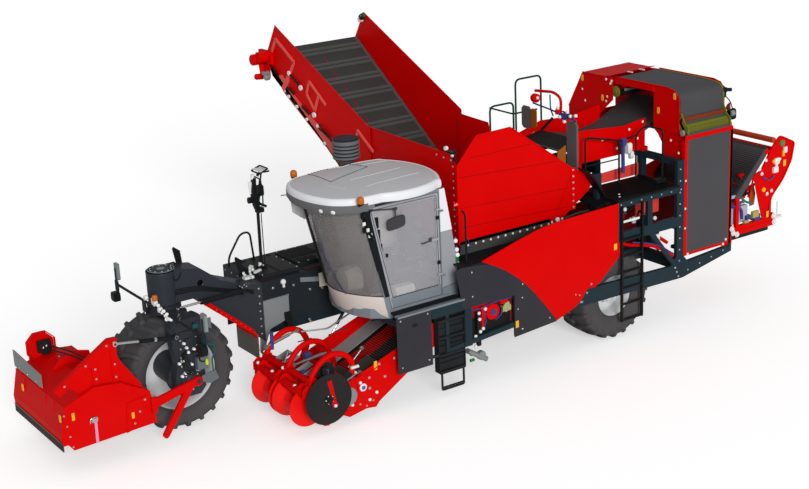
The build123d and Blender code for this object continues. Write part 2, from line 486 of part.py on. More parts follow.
door += block(-4065, -3920, CAB_LEFT - 20, CAB_LEFT + 22, 2640, 2680) - block(-4035, -3940, CAB_LEFT
    - 5, CAB_LEFT + 14, 2630, 2690)
DOOR_PIN = (-4096.0, 1358.0, 1688.0)
knuckles = []
for z in (2050, 3150):
    lug = block(-4160, -4100, 1338, 1376, z - 50, z - 20) + block(-4100, -4082, 1344, 1376, z - 50, z - 20)
    lug -= rod((-4096, 1358, z - 60), (-4096, 1358, z), 10.1)
    knuckles.append(lug)
    door += block(-4086, -4026, 1335, 1370, z - 14, z + 16)
    door += rod((-4096, 1358, z - 56), (-4096, 1358, z + 16), 10)
    door += rod((-4096, 1358, z - 14), (-4096, 1358, z + 16), 14)
keep("cab_shell", *knuckles)
keep("cab_door", door)
keep("door_glass", side_plate([(-3160, 1790), (-2840, 3350), (-4030, 3350), (-4030, 1790)], CAB_LEFT
    - 36, CAB_LEFT - 30))

# ---------------------------------------------------------------- bunker
TANK_SIDE = [(TANK_FRONT, TANK_FLOOR), (TANK_FRONT, 3700), (-5080, 4140), (-5780, 4160), (-6630, 3560),
    (-7110, 3210), (-7530, 3010), (-7530, 2760), (-6890, TANK_FLOOR)]
WALL_Y = TANK_LEFT - SHEET - SEAM
TANK_END = [(WALL_Y, TANK_FLOOR), (WALL_Y, 3700), (930, 3860), (-1500, 3910), (-1500, TANK_FLOOR)]
TANK_BACK = [(WALL_Y, TANK_FLOOR), (WALL_Y, 3540), (640, 3540), (640, 3900), (-1500, 3910),
    (-1500, TANK_FLOOR)]
weld("bunker", [(TANK_REAR, TANK_FRONT - SHEET, -1500, TANK_LEFT, TANK_FLOOR, TANK_FLOOR + 60)], [
    side_plate(TANK_SIDE, TANK_LEFT - SHEET, TANK_LEFT), cross_plate(TANK_END, TANK_FRONT
    - SHEET, TANK_FRONT),
    cross_plate(TANK_BACK, TANK_REAR - SHEET, TANK_REAR)])

# ---------------------------------------------------------------- discharge elevator
WALL_TOP = [(-1420, 3910), (-4560, 5370), (-4960, 4760), (-4330, 4080), (-2520, 3070), (-1720, 2350),
    (-1540, 2350), (-1470, 2520)]
lift = cross_plate(WALL_TOP, -4640, -4640 + SHEET) + cross_plate(WALL_TOP, -6652, -6652 + SHEET)
for y, z in ((-1750, 2520), (-3300, 3520), (-4500, 4350)):
    lift += rod((-4640, y, z), (-6640, y, z), 35)
lift += rod((-4700, -4870, 4740), (-4380, -4870, 4740), 110) + block(-4640, -4560, -5150, -4700, 4600, 4850)
lift += rod((-4640, LIFT_Y, LIFT_Z), (-4570, LIFT_Y, LIFT_Z), 40)
lift += rod((-6652, LIFT_Y, LIFT_Z), (-6720, LIFT_Y, LIFT_Z), 40)
ELEV_EYE = (-5600.0, -2700.0, 3030.0)
lift += block(-5660, -5540, -2760, -2640, 3122, 3190) + rod((-4640, -2700, 3150), (-6640, -2700, 3150), 35)
lift += block(-5640, -5628, -2745, -2655, 2990, 3124) + block(-5572, -5560, -2745, -2655, 2990, 3124)
keep("discharge_elevator", lift)
band = cross_plate([(-1700, 2660), (-4860, 4850), (-4900, 4790), (-1740, 2600)], -6640, -4640 + SHEET)
band += cross_plate([(-1740, 2520), (-4700, 4560), (-4725, 4520), (-1760, 2480)], -6640, -4640 + SHEET)
for x in (-4728, -6640):
    band += cross_plate([(-1700, 2660), (-4860, 4850), (-4700, 4560), (-1740, 2520)], x, x + 100)
keep("discharge_belt", band)
cylinder_pair("elevator_cylinder", ELEV_BASE, ELEV_EYE, 40.0, 24.0, 1350.0, 300.0, 22.0, (1, 0, 0))
cylinder_pair("digger_cylinder", (-3120.0, -50.0, 1360.0), (LIFT_LUG[0], -50.0, LIFT_LUG[2]), 26.0, 14.0,
    380.0, 130.0, 22.0, (0, 1, 0))

# ---------------------------------------------------------------- side panels, walkway and steps
FRONT_Y = HALF_WIDTH - 10
slate = side_plate([(-4170, 2140), (-4290, 2170), (-4540, 2150), (-5390, 2030), (-5910, 1400), (-6280, 750),
    (-5350, 690), (-5370, 1440),
                    (-4290, 1450)], FRONT_Y, HALF_WIDTH)
slate += side_plate([(-2970, 660), (-2970, 1640), (-3650, 1640), (-3650, 660)], FRONT_Y, HALF_WIDTH)
slate += block(-3180, -3060, 1555, FRONT_Y, 1410, 1510) + block(-4470, -4330, 1555, FRONT_Y, 1455, 1510)
slate += block(-5420, -5370, 1600, FRONT_Y, 700, 1600)
keep("left_panel", slate)
red = side_plate([(-4540, 2150), (-7730, 2540), (-7740, 1600), (-7270, 1210), (-6280, 760), (-5911, 1402),
    (-5391, 2032)], FRONT_Y - 12, FRONT_Y)
red += block(-6740, -6660, SIDE_Y - 5, FRONT_Y - 12, 1100, 1250)
red += block(-6740, -6660, SIDE_Y - 5, FRONT_Y - 12, 1700, 1860)
keep("side_covers", red)
cover = side_plate([(-4452, 900), (-4452, 1880), (-7600, 1880), (-7740, 1600), (-7270, 1210), (-6280, 760)],
    -HALF_WIDTH, -FRONT_Y)
cover += block(-6740, -6660, -FRONT_Y, -SIDE_Y + 5, 1020, 1200)
cover += block(-4560, -4452, -FRONT_Y, -HALF_WIDTH + 130, 1240, 1400)
cover += block(-4560, -4330, -HALF_WIDTH + 130, -HALF_WIDTH + 230, 1240, 1280)
keep("side_covers", cover)
walk = block(-4330, -3060, CAB_LEFT + 12, 1640, 1600, 1635) + block(-4330, -3060, 1570, 1640, 1515, 1605)
walk += flat_plate([(-4330, 1000), (-4330, 1640), (-4480, 1640), (-7600, 1640), (-7600, 1110),
    (-4520, 1110), (-4520, 1360), (-4330, 1360)], 2140, 2165) - block(-4400, -4000, 900, 1365, 2100, 2200)
walk += block(-6740, -6660, 1110, 1560, 1860, 2145) + block(-4470, -4410, 1362, 1560, 1515, 2145)
walk += block(-7600, -7540, 1110, 1640, 2160, 2480)
walk += block(-4480, -4330, 1500, 1640, 1515, 2145)
keep("walkway", walk)
steps = block(-3790, -3778, 1512, HALF_WIDTH, 450, 1375) + block(-4312, -4300, 1512, HALF_WIDTH, 450, 1375)
for z in (450, 750, 1050, 1340):
    steps += block(-4312, -3778, 1512, HALF_WIDTH, z, z + 30)
steps += block(-4312, -3778, 1512, 1524, 450, 1375) + block(-4312, -3778, 1512, 1560, 1370, 1400)
steps -= block(DIG_X - 95, DIG_X + 95, 1500, 1546, DIG_Z - 95, 1420)
keep("access_steps", steps)
keep("access_steps", pipe([(-3830, 1632, 460), (-3830, 1632, 190), (-4270, 1632, 190), (-4270, 1632, 460)],
    16))

# ---------------------------------------------------------------- rear platform, ladder and rails
platform = block(-9160, -7680, 690, 1640, 2580, 2610) + block(-9160, -7680, -1640, -690, 2580, 2610)
platform += block(-9160, -7680, 660, 700, 2440, 2610)
platform += block(-9160, -7680, -700, -660, 2440, 2610) + block(-9270, -7680, 640, 700, 2400, 2450)
platform += block(-9270, -7680, -700, -640, 2400, 2450)
keep("rear_platform", platform)
ladder = block(-7780, -7740, HALF_WIDTH, 1690, 360, 2500) + block(-8260, -8220, HALF_WIDTH, 1690, 360, 2500)
for k in range(6):
    ladder += block(-8240, -7760, HALF_WIDTH, 1690, 370 + k * 300, 400 + k * 300)
keep("rear_platform", ladder)
R = 17.0
rails = pipe([(-7690, 800, 2600), (-7690, 800, 3590), (-8490, 800, 3400), (-8490, 800, 2600)], R)
rails += pipe([(-8900, 800, 2600), (-8900, 800, 3440), (-9020, 900, 3590), (-9080, 1300, 3590),
    (-9080, 1300, 2600)], R)
rails += rod((-8492, 800, 3385), (-8898, 800, 3420), 14) + rod((-7692, 800, 3060), (-8488, 800, 3060), 12)
keep("guard_rails", rails)
service = pipe([(-7440, -1600, 2600), (-7440, -1600, 3800), (-8000, -1600, 3800), (-8000, -1600, 2600)], R)
service += pipe([(-8060, -1600, 2600), (-8060, -1600, 4220), (-8680, -1600, 4220), (-8680, -1600, 2600)], R)
service += block(-7700, -7400, -1640, -1300, 2580, 2610)
keep("guard_rails", service)
rail_front = pipe([(-4500, 1500, 2160), (-4500, 1500, 3000), (-4500, 1420, 3050)], R)
keep("guard_rails", rail_front)

# ---------------------------------------------------------------- sieving channel under the bunker
CHAN = [(-4420, 1000), (-4420, 1380), (-6620, 1500), (-6620, 1230), (-6000, 900), (-4900, 800)]
chan = side_plate(CHAN, 60, 72) + side_plate(CHAN, 1500, 1512)
for x, z in ((-4560, 1080), (-5400, 900), (-6540, 1300)):
    chan += rod((x, 60, z), (x, 1512, z), 60)
chan += block(-6680, -6600, 60, 560, 1240, 1420) + block(-6700, -6600, 1400, 1512, 1150, 1420)
chan += block(-4475, -4400, 60, 200, 1300, 1420) + block(-4475, -4400, 1400, 1512, 1300, 1420)
keep("sieve_channel", chan)
keep("conveyor_belts",
    side_plate([(-4530, 1135), (-6560, 1370), (-6580, 1330), (-6500, 1240), (-5400, 840), (-4500, 1010)],
    74, 1498)
     - side_plate([(-4570, 1095), (-6500, 1320), (-6490, 1280), (-5400, 880), (-4560, 1050)], 60, 1512))
REARCHAN = [(-6600, 1245), (-6600, 1700), (-9160, 1950), (-10350, 2150), (-10350, 1700), (-9300, 1245)]
rearchan = side_plate(REARCHAN, 545, 557) + side_plate(REARCHAN, -557, -545)
for x, z in ((-6800, 1450), (-8000, 1400), (-9200, 1500), (-10200, 1850)):
    rearchan += rod((x, -557, z), (x, 557, z), 50)
keep("sieve_channel", rearchan)
keep("conveyor_belts",
    side_plate([(-6760, 1495), (-10200, 1900), (-10240, 1850), (-9200, 1450), (-8000, 1350), (-6780, 1400)],
    -543, 543)
     - side_plate([(-6850, 1480), (-10180, 1870), (-10180, 1850), (-9200, 1480), (-8000, 1380),
     (-6850, 1430)], -560, 560))

# ---------------------------------------------------------------- vertical elevator round the left rear corner
RING_X0, RING_X1 = -10490.0, -9290.0
RING_PLATE = [(HALF_WIDTH, 1240), (HALF_WIDTH, 3470), (1430, 3560), (1430, 4180), (1330, 4290),
    (1150, 4330), (-250, 4330), (-250, 4150),
              (790, 4190), (790, 3480), (900, 3400), (1050, 3200), (1050, 1500), (1200, 1240)]
ring = block(RING_X0, RING_X1, 1630, HALF_WIDTH, 1240, 1290)
ring += block(RING_X0, RING_X1, 1600, HALF_WIDTH, 3400, 3470)
for x0, x1 in ((RING_X1 - 60, RING_X1), (RING_X0, RING_X0 + 60)):
    ring += block(x0, x1, 1600, HALF_WIDTH, 1240, 3470)
    ring += cross_plate(RING_PLATE, x0, x0 + 10)
ring += rod((RING_X0, 1400, 1420), (RING_X1, 1400, 1420), 60)
ring += rod((RING_X0, 0, 4180), (RING_X1, 0, 4180), 60)
ring += block(RING_X1 - 60, RING_X1, 1560, 1600, 3060, 3400) + block(-9300, -9270, 690, 1640, 2960, 3050)
ring += block(-10480, -10420, 1560, 1650, 1180, 1250) + block(-9350, -9290, 1560, 1650, 1110, 1250)
keep("ring_elevator", ring)
BELT = [(1640, 1290), (1640, 3480), (1455, 3760), (1455, 4020), (1370, 4190), (1190, 4285), (950, 4300),
    (-60, 4300), (-60, 4240), (940, 4240),
        (1165, 4228), (1320, 4150), (1395, 4005), (1395, 3745), (1580, 3460), (1580, 1350), (1250,
        1350), (1250, 1290)]
keep("conveyor_belts", cross_plate(BELT, RING_X0 + 62, RING_X1 - 62))

# ---------------------------------------------------------------- hood and transfer conveyor to the bunker
hood_f = cross_plate([(-1500, 3060), (-1500, 3340), (-1090, 4270), (60, 4560), (400, 4420), (400, 4335),
    (-300, 4335), (-300, 3480), (-700, 3060)], -9302, -9290)
hood_f += cross_plate([(-1500, 3060), (-1500, 3340), (-1090, 4200), (-300, 4270), (1150, 4270),
    (1150, 4200), (900, 3060)], -10502, -10490)
ROOF_A = make_face(Polyline((-9290, -1500, 3340), (-9290, -1090, 4270), (-9290, 60, 4560),
    (-9290, 60, 4548), (-9290, -1082, 4258), (-9290, -1488, 3340), close=True))
ROOF_B = make_face(Polyline((-10502, -1500, 3340), (-10502, -1090, 4200), (-10502, 60, 4270),
    (-10502, 60, 4258), (-10502, -1082, 4188), (-10502, -1488, 3340), close=True))
hood_f += loft([ROOF_A, ROOF_B], ruled=True) + block(-10502, -9290, -1500, -1488, 3060, 3345)
keep("transfer_conveyor", hood_f)
CONV = [(-9290, 3120), (-9290, 4130), (-8900, 4080), (-8300, 3700), (-7600, 3640), (-7000, 3950),
    (-6720, 4100), (-6300, 4080), (-6500, 3700), (-7200, 3300), (-7650, 3080)]
conv = side_plate(CONV, 610, 610 + SHEET) + side_plate(CONV, -622, -610)
for x, z in ((-9200, 3500), (-8200, 3350), (-7300, 3350), (-6500, 3850)):
    conv += rod((x, -622, z), (x, 622, z), 45)
conv += block(-9300, -9160, 560, 690, 3055, 3130) + block(-9300, -9160, -690, -560, 3055, 3130)
conv += block(-7700, -7640, 560, 700, 2605, 3120) + block(-7700, -7640, -700, -560, 2605, 3120)
keep("transfer_conveyor", conv)
keep("conveyor_belts",
    side_plate([(-9220, 3900), (-9180, 3940), (-8250, 3520), (-7350, 3480), (-6480, 3930), (-6460, 3880),
    (-7340, 3430), (-8260, 3470)], -600, 600))

# ---------------------------------------------------------------- cleaning unit at the tail
TAIL = [(-10350, 1300), (-10350, 2300), (-11000, 2450), (-11600, 2980), (-11960, 2900), (-12190, 2710),
    (-12000, 2300), (-11700, 1950), (-11560, 1600), (-11560, 1400)]
TAIL_NEAR = [(-11100, 2400), (-11300, 2460), (-11620, 2900), (-11790, 3050), (-12190, 2860), (-12120, 2520),
    (-11900, 2180), (-11600, 1900),
             (-11520, 1600), (-11560, 1450), (-11380, 1450), (-11300, 1700), (-11180, 2100)]
tail = side_plate(TAIL_NEAR, HALF_WIDTH - 42, HALF_WIDTH - 30) + side_plate(TAIL, -560, -548)
tail += block(-10740, -10660, 1560, 1620, 1480, 2060)
tail += block(-11640, -10340, HALF_WIDTH - 110, HALF_WIDTH - 20, 1330, 1500)
tail += block(-11640, -10340, -640, -550, 1330, 1500)
for x, z in ((-10500, 1420), (-11500, 1420), (-11450, 2800), (-11950, 2700), (-10700, 2000)):
    tail += rod((x, -560, z), (x, HALF_WIDTH - 30, z), 50)
tail += block(-10560, -10340, 1550, 1620, 1190, 1340) + block(-10430, -10330, -640, -545, 1500, 1900)
tail += block(-10520, -10400, -640, 1640, 1200, 1330)
keep("cleaning_unit", tail)
keep("conveyor_belts",
    side_plate([(-10650, 2080), (-11400, 2850), (-11480, 2860), (-11500, 2790), (-10740, 1980),
    (-10660, 1990)], -546, HALF_WIDTH - 44))
mast = pipe([(-2000, -900, DECK_Z + 5), (-2010, -900, 3050), (-2100, -900, 3550)], 24)
mast += block(-2125, -2045, -960, -840, 3300, 3480) + rod((-2100, -900, 3540), (-2130, -880, 3740), 14)
mast += block(-2190, -2090, -1020, -720, 3720, 3760)
keep("guard_rails", mast)
deck_rail = pipe([(-1700, -1500, 1990), (-1710, -1500, 2150), (-1960, -1500, 2520), (-2140, -1500, 2520),
    (-2190, -1500, 1990)], R)
keep("guard_rails", deck_rail)
LAMP_X, LAMP_Y, LAMP_Z = 330.0, 1530.0, 2150.0     # outrigger bar in front of the kingpin head
lamps = block(270.4, 345, -560, -440, 1935, 2005) + block(325, 345, -560, -440, 2000, 2150)
lamps += rod((LAMP_X, -LAMP_Y, LAMP_Z), (LAMP_X, LAMP_Y, LAMP_Z), 22)
for side in (1, -1):
    y = side * LAMP_Y
    lamps += rod((LAMP_X, y, 1900), (LAMP_X, y, 2420), 18)
    lamps += block(LAMP_X - 10, LAMP_X + 90, y - 75, y + 75, 1880, 2020)
    lamps += block(LAMP_X - 45, LAMP_X - 10, y - 65, y + 65, 2230, 2500)
keep("front_lamps", lamps)

# Sub-parts that lie against each other: the first is notched round the second
NOTCHES = [
    ("front_tyre", "front_rim"), ("rear_tyre_left", "rear_rim_left"), ("rear_tyre_right", "rear_rim_right"),
    ("topper_skirt", "haulm_topper"), ("front_mudguard", "front_neck"), ("digger_web", "digger_frame"),
    ("discharge_belt", "discharge_elevator"), ("engine_housing", "main_frame"), ("sieve_channel",
    "main_frame"),
    ("ring_elevator", "main_frame"), ("cleaning_unit", "main_frame"), ("cleaning_unit", "ring_elevator"),
    ("cleaning_unit", "sieve_channel"), ("transfer_conveyor", "main_frame"), ("transfer_conveyor",
    "ring_elevator"),
    ("conveyor_belts", "ring_elevator"), ("conveyor_belts", "sieve_channel"), ("conveyor_belts",
    "transfer_conveyor"),
    ("conveyor_belts", "cleaning_unit"), ("conveyor_belts", "main_frame"), ("left_panel", "main_frame"),
    ("side_covers", "main_frame"), ("side_covers", "engine_housing"), ("walkway", "main_frame"), ("walkway",
    "side_covers"),
    ("rear_platform", "main_frame"), ("rear_platform", "transfer_conveyor"), ("guard_rails",
    "engine_housing"),
    ("guard_rails", "rear_platform"), ("guard_rails", "transfer_conveyor"), ("guard_rails", "walkway"),
    ("guard_rails", "bunker"), ("access_steps", "main_frame"), ("transfer_conveyor",
    "bunker"), ("conveyor_belts", "bunker"),
    ("windscreen", "cab_shell"), ("cab_glass", "cab_shell"), ("operator_seat", "cab_shell"), ("windscreen",
    "cab_roof"),
]
for name, other in NOTCHES:
    NODES[name] = NODES[name] - NODES[other]

if __name__ == "__main__":
    os.makedirs("parts", exist_ok=True)
    for name, shape in NODES.items():
        export_step(Pos(*SHIFT) * shape, f"parts/{name}.step")
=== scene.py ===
"""Self-propelled two-row potato harvester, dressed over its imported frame, in metres."""
import math

import bmesh
import bpy
import numpy as np
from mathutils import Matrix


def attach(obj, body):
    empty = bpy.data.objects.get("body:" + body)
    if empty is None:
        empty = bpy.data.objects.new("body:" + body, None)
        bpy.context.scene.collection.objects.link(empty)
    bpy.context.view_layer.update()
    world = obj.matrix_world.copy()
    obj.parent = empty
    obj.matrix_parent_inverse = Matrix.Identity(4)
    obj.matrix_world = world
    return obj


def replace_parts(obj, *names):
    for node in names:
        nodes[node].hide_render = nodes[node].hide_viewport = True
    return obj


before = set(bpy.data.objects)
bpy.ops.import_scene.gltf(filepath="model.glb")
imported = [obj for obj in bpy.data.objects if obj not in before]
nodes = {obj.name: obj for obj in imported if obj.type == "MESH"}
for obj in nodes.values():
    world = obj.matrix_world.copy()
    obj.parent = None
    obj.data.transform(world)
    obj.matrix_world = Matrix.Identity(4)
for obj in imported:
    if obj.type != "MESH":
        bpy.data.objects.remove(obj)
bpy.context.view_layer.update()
scene = bpy.context.scene

# ---------------------------------------------------------------- camera, floor and light
# The whole machine is seen from its front left, from a raised stand with a long
# lens, on a white studio floor under one broad soft lamp and an even sky.
heading, tilt, roll = math.radians(-123.865), math.radians(-18.006), math.radians(-2.665)
gaze = np.array([math.cos(tilt) * math.cos(heading), math.cos(tilt) * math.sin(heading),
        math.sin(tilt)])
level = np.cross(gaze, (0, 0, 1)) / math.cos(tilt)
over = np.cross(level, gaze)
right = math.cos(roll) * level + math.sin(roll) * over
top = math.cos(roll) * over - math.sin(roll) * level
camera = bpy.data.objects.new("camera", bpy.data.cameras.new("camera"))
turn = np.eye(4)
turn[:3, 0], turn[:3, 1], turn[:3, 2], turn[:3, 3] = right, top, -gaze, (14.067, 21.681, 9.982)
camera.matrix_world = [list(column) for column in turn.T]
camera.data.lens, camera.data.sensor_width, camera.data.clip_end = 65.8, 36.0, 500.0
scene.collection.objects.link(camera)
scene.camera = camera

scene.view_settings.view_transform = "Standard"
world = bpy.data.worlds.new("sky")
scene.world = world
world.use_nodes = True
sky = world.node_tree
back = sky.nodes["Background"]
seen = sky.nodes.new("ShaderNodeLightPath")
either = sky.nodes.new("ShaderNodeMath")
either.operation = "MAXIMUM"
sky.links.new(seen.outputs["Is Camera Ray"], either.inputs[0])
sky.links.new(seen.outputs["Is Transmission Ray"], either.inputs[1])
level_of = sky.nodes.new("ShaderNodeMapRange")
level_of.inputs["To Min"].default_value, level_of.inputs["To Max"].default_value = 0.42, 1.0
sky.links.new(either.outputs[0], level_of.inputs["Value"])
sky.links.new(level_of.outputs[0], back.inputs["Strength"])
back.inputs["Color"].default_value = (1, 1, 1, 1)

lamp = bpy.data.objects.new("broad_lamp", bpy.data.lights.new("broad_lamp", "SUN"))
lamp.data.energy, lamp.data.angle = 2.35, math.radians(24)
aim = np.array([0.34, 1.0, 0.34])
aim = aim / np.linalg.norm(aim)
lamp.rotation_euler = (math.acos(aim[2]), 0, math.atan2(aim[1], aim[0]) + math.pi / 2)
scene.collection.objects.link(lamp)

floor_mesh = bpy.data.meshes.new("floor")
floor_mesh.from_pydata([(-150, -150, 0), (150, -150, 0), (150, 150, 0), (-150, 150, 0)], [],
    [(0, 1, 2, 3)])
floor = bpy.data.objects.new("floor", floor_mesh)
scene.collection.objects.link(floor)
pale = bpy.data.materials.new("studio_floor")
pale.use_nodes = True
tree = pale.node_tree
matt = tree.nodes["Principled BSDF"]
matt.inputs["Base Color"].default_value = (0.86, 0.86, 0.86, 1)
matt.inputs["Roughness"].default_value = 0.9
matt.inputs["Specular IOR Level"].default_value = 0.0
glow = tree.nodes.new("ShaderNodeEmission")
ray = tree.nodes.new("ShaderNodeLightPath")
lift = tree.nodes.new("ShaderNodeMath")
lift.operation = "MULTIPLY"
lift.inputs[1].default_value = 0.46
tree.links.new(ray.outputs["Is Camera Ray"], lift.inputs[0])
tree.links.new(lift.outputs[0], glow.inputs["Strength"])
both = tree.nodes.new("ShaderNodeAddShader")
tree.links.new(matt.outputs[0], both.inputs[0])
tree.links.new(glow.outputs[0], both.inputs[1])
tree.links.new(both.outputs[0], tree.nodes["Material Output"].inputs["Surface"])
floor_mesh.materials.append(pale)

# ---------------------------------------------------------------- main frame
# Welded box sections and channels in dark teal, bolted through plates at the
# posts; rows of zinc bolts and weld beads lie on its outer faces.
SHIFT = np.array([4.98, 1.73, 0.0])      # from the front wheel's axis to the row frame


def at(points):
    """Millimetres forward, left and up from the front wheel's axis, as metres in the row frame."""
    return np.asarray(points, float) / 1000 + SHIFT


def unit(vector):
    """The vector at length one."""
    vector = np.asarray(vector, float)
    return vector / np.linalg.norm(vector)


def finish(name, card, rough=0.4, metal=0.0, vary=0.06, dirt=0.10, grain=0.02, scale=1.6, coat=0.0):
    """Painted or moulded surface: broad tone drift, dust that thickens low down, fine grain in
    gloss and bump."""
    colour = tint(*card)
    material = bpy.data.materials.new(name)
    material.use_nodes = True
    t = material.node_tree
    shader = t.nodes["Principled BSDF"]
    place = t.nodes.new("ShaderNodeTexCoord")
    broad = t.nodes.new("ShaderNodeTexNoise")
    broad.inputs["Scale"].default_value, broad.inputs["Detail"].default_value = scale, 6.0
    fine = t.nodes.new("ShaderNodeTexNoise")
    fine.inputs["Scale"].default_value, fine.inputs["Detail"].default_value = scale * 45, 3.0
    for noise in (broad, fine):
        t.links.new(place.outputs["Object"], noise.inputs["Vector"])
    tone = t.nodes.new("ShaderNodeMix")
    tone.data_type = "RGBA"
    tone.inputs["A"].default_value = (*[c * (1 - vary * 1.6) for c in colour], 1)
    tone.inputs["B"].default_value = (*[min(1, c * (1 + vary)) for c in colour], 1)
    t.links.new(broad.outputs["Fac"], tone.inputs["Factor"])
    height = t.nodes.new("ShaderNodeSeparateXYZ")
    t.links.new(place.outputs["Object"], height.inputs[0])
    low = t.nodes.new("ShaderNodeMapRange")
    low.inputs["From Min"].default_value, low.inputs["From Max"].default_value = 2.2, 0.0
    low.inputs["To Min"].default_value, low.inputs["To Max"].default_value = dirt * 0.25, dirt * 1.7
    t.links.new(height.outputs["Z"], low.inputs["Value"])
    patchy = t.nodes.new("ShaderNodeMath")
    patchy.operation = "MULTIPLY"
    t.links.new(low.outputs[0], patchy.inputs[0])
    t.links.new(broad.outputs["Fac"], patchy.inputs[1])
    dusty = t.nodes.new("ShaderNodeMix")
    dusty.data_type = "RGBA"
    dusty.inputs["B"].default_value = (0.15, 0.12, 0.09, 1)
    t.links.new(patchy.outputs[0], dusty.inputs["Factor"])
    t.links.new(tone.outputs["Result"], dusty.inputs["A"])
    t.links.new(dusty.outputs["Result"], shader.inputs["Base Color"])
    gloss = t.nodes.new("ShaderNodeMapRange")
    gloss.inputs["To Min"].default_value, gloss.inputs["To Max"].default_value = rough * 0.82, min(1,
        rough * 1.22)
    t.links.new(fine.outputs["Fac"], gloss.inputs["Value"])
    t.links.new(gloss.outputs[0], shader.inputs["Roughness"])
    dent = t.nodes.new("ShaderNodeBump")
    dent.inputs["Strength"].default_value, dent.inputs["Distance"].default_value = 1.0, grain * 0.1
    t.links.new(fine.outputs["Fac"], dent.inputs["Height"])
    t.links.new(dent.outputs[0], shader.inputs["Normal"])
    shader.inputs["Metallic"].default_value = metal
    shader.inputs["Specular IOR Level"].default_value = 0.5 if metal > 0.2 else 0.09
    shader.inputs["Coat Weight"].default_value = coat * 0.5
    shader.inputs["Coat Roughness"].default_value = 0.12
    return material


def tint(r, g, b):
    """Colour as a paint card gives it, 0 to 255 a channel, to linear light."""
    c = np.array([r, g, b]) / 255
    return tuple(float(v) for v in np.where(c <= 0.04045, c / 12.92, ((c + 0.055) / 1.055) ** 2.4))


def skin(grid, around=True, along=False):
    """Quads over a grid of points (rows, columns, 3); around closes the columns, along the rows."""
    m, n = grid.shape[:2]
    i, j = np.meshgrid(np.arange(m if along else m - 1), np.arange(n if around else n - 1),
        indexing="ij")
    k, l = (i + 1) % m, (j + 1) % n
    return grid.reshape(-1, 3), np.stack([i * n + j, i * n + l, k * n + l, k * n + j], -1).reshape(-1,
        4)


def carry(profile, line, up=(0, 0, 1), loop=False, sizes=None):
    """Closed profile (across, up) along a line, ends closed:
    point = line + size * (across * side + up * rise)."""
    line, profile = np.asarray(line, float), np.asarray(profile, float)
    if loop:
        run = np.roll(line, -1, 0) - np.roll(line, 1, 0)
    else:
        step = np.diff(line, axis=0)
        step = step / np.linalg.norm(step, axis=1)[:, None]
        run = np.vstack([step[:1], step[:-1] + step[1:], step[-1:]])
    run = run / np.linalg.norm(run, axis=1)[:, None]
    side = np.cross(run, up)
    side = side / np.maximum(np.linalg.norm(side, axis=1)[:, None], 1e-9)
    rise = np.cross(side, run)
    size = np.ones(len(line)) if sizes is None else np.asarray(sizes, float)
    if not loop:
        pick = np.r_[0, np.arange(len(line)), len(line) - 1]
        line, side, rise, size = line[pick], side[pick], rise[pick], np.r_[0, size, 0]
    grid = line[:, None] + size[:, None, None] * (profile[None, :, :1] * side[:, None]
        + profile[None, :, 1:] * rise[:, None])
    return skin(grid, along=loop)


def oblong(wide, high, cut=0.12):
    """Rectangle with cut corners, centred, as a closed profile."""
    w, h = wide / 2, high / 2
    c = min(w, h) * cut * 2
    return np.array([(-w, -h + c), (-w + c, -h), (w - c, -h), (w, -h + c), (w, h - c), (w - c, h),
            (-w + c, h), (-w, h - c)])


def bar(start, end, wide, high, up=(0, 0, 1), cut=0.12):
    """Straight bar of cut-cornered section between two points given in millimetres."""
    return strip(wide / 1000, high / 1000, [start, end], up, cut=cut)


def slab(loop, lie, low, high):
    """Plate with a given outline in millimetres; lie is the axis it is square to, and low and
    high its faces."""
    loop = np.asarray(loop, float)
    n = len(loop)
    order = {"x": [2, 0, 1], "y": [0, 2, 1], "z": [0, 1, 2]}[lie]
    flat = np.array([np.c_[loop, np.full(n, level)] for level in (low, high)])[..., order]
    i = np.arange(n)
    walls = np.stack([i, (i + 1) % n, (i + 1) % n + n, i + n], -1)
    return at(flat.reshape(-1, 3)), [*walls.tolist(), i[::-1].tolist(), (i + n).tolist()]


def stamp(shape, places, way=(0, 0, 1)):
    """The same small shape, standing on its own Z, set at each place (metres) with Z turned to way."""
    points, faces = shape
    way = unit(way)
    side = unit(np.cross(way, (0.0, 0.0, 1.0) if abs(way[2]) < 0.9 else (1.0, 0.0, 0.0)))
    turned = points[:, :1] * side + points[:, 1:2] * np.cross(way, side) + points[:, 2:] * way
    places = np.atleast_2d(places)
    hops = np.arange(len(places))[:, None, None] * len(points)
    return (places[:, None] + turned[None]).reshape(-1, 3), (np.asarray(faces)[None] + hops).reshape(-1,
        np.shape(faces)[1])


def bolt(radius, high):
    """Hexagon head on a round washer, about its own Z, in millimetres: rings of six, closed on top."""
    a = np.arange(6) * np.pi / 3
    table = np.array([(1.45, 0), (1.45, 0.22), (1.0, 0.22), (1.0, 0.85), (0.86, 1.0), (0.0, 1.0)])
    ring = np.stack([np.cos(a), np.sin(a)], -1)
    flat = table[:, None, :1] * radius * ring[None]
    grid = np.concatenate([flat, np.broadcast_to(table[:, None, 1:] * high, (6, 6, 1))], -1) / 1000
    return skin(grid)


def bolts_at(radius, high, places, way=(0, 0, 1)):
    """Bolt heads at places in millimetres, standing towards way."""
    return stamp(bolt(radius, high), at(places), way)


def bolt_row(radius, high, start, end, count, way=(0, 0, 1)):
    """Bolt heads evenly spaced from start to end, in millimetres, standing towards way."""
    return stamp(bolt(radius, high), row(start, end, count), way)


def strip(wide, high, points, up, cut=0.12, **more):
    """Cut-cornered bead, wide and high in metres, along points in millimetres."""
    return carry(oblong(wide, high, cut), at(points), up, **more)


def row(start, end, count):
    """Evenly spaced places from start to end, in millimetres, as metres in the row frame."""
    return at(np.linspace(start, end, count))


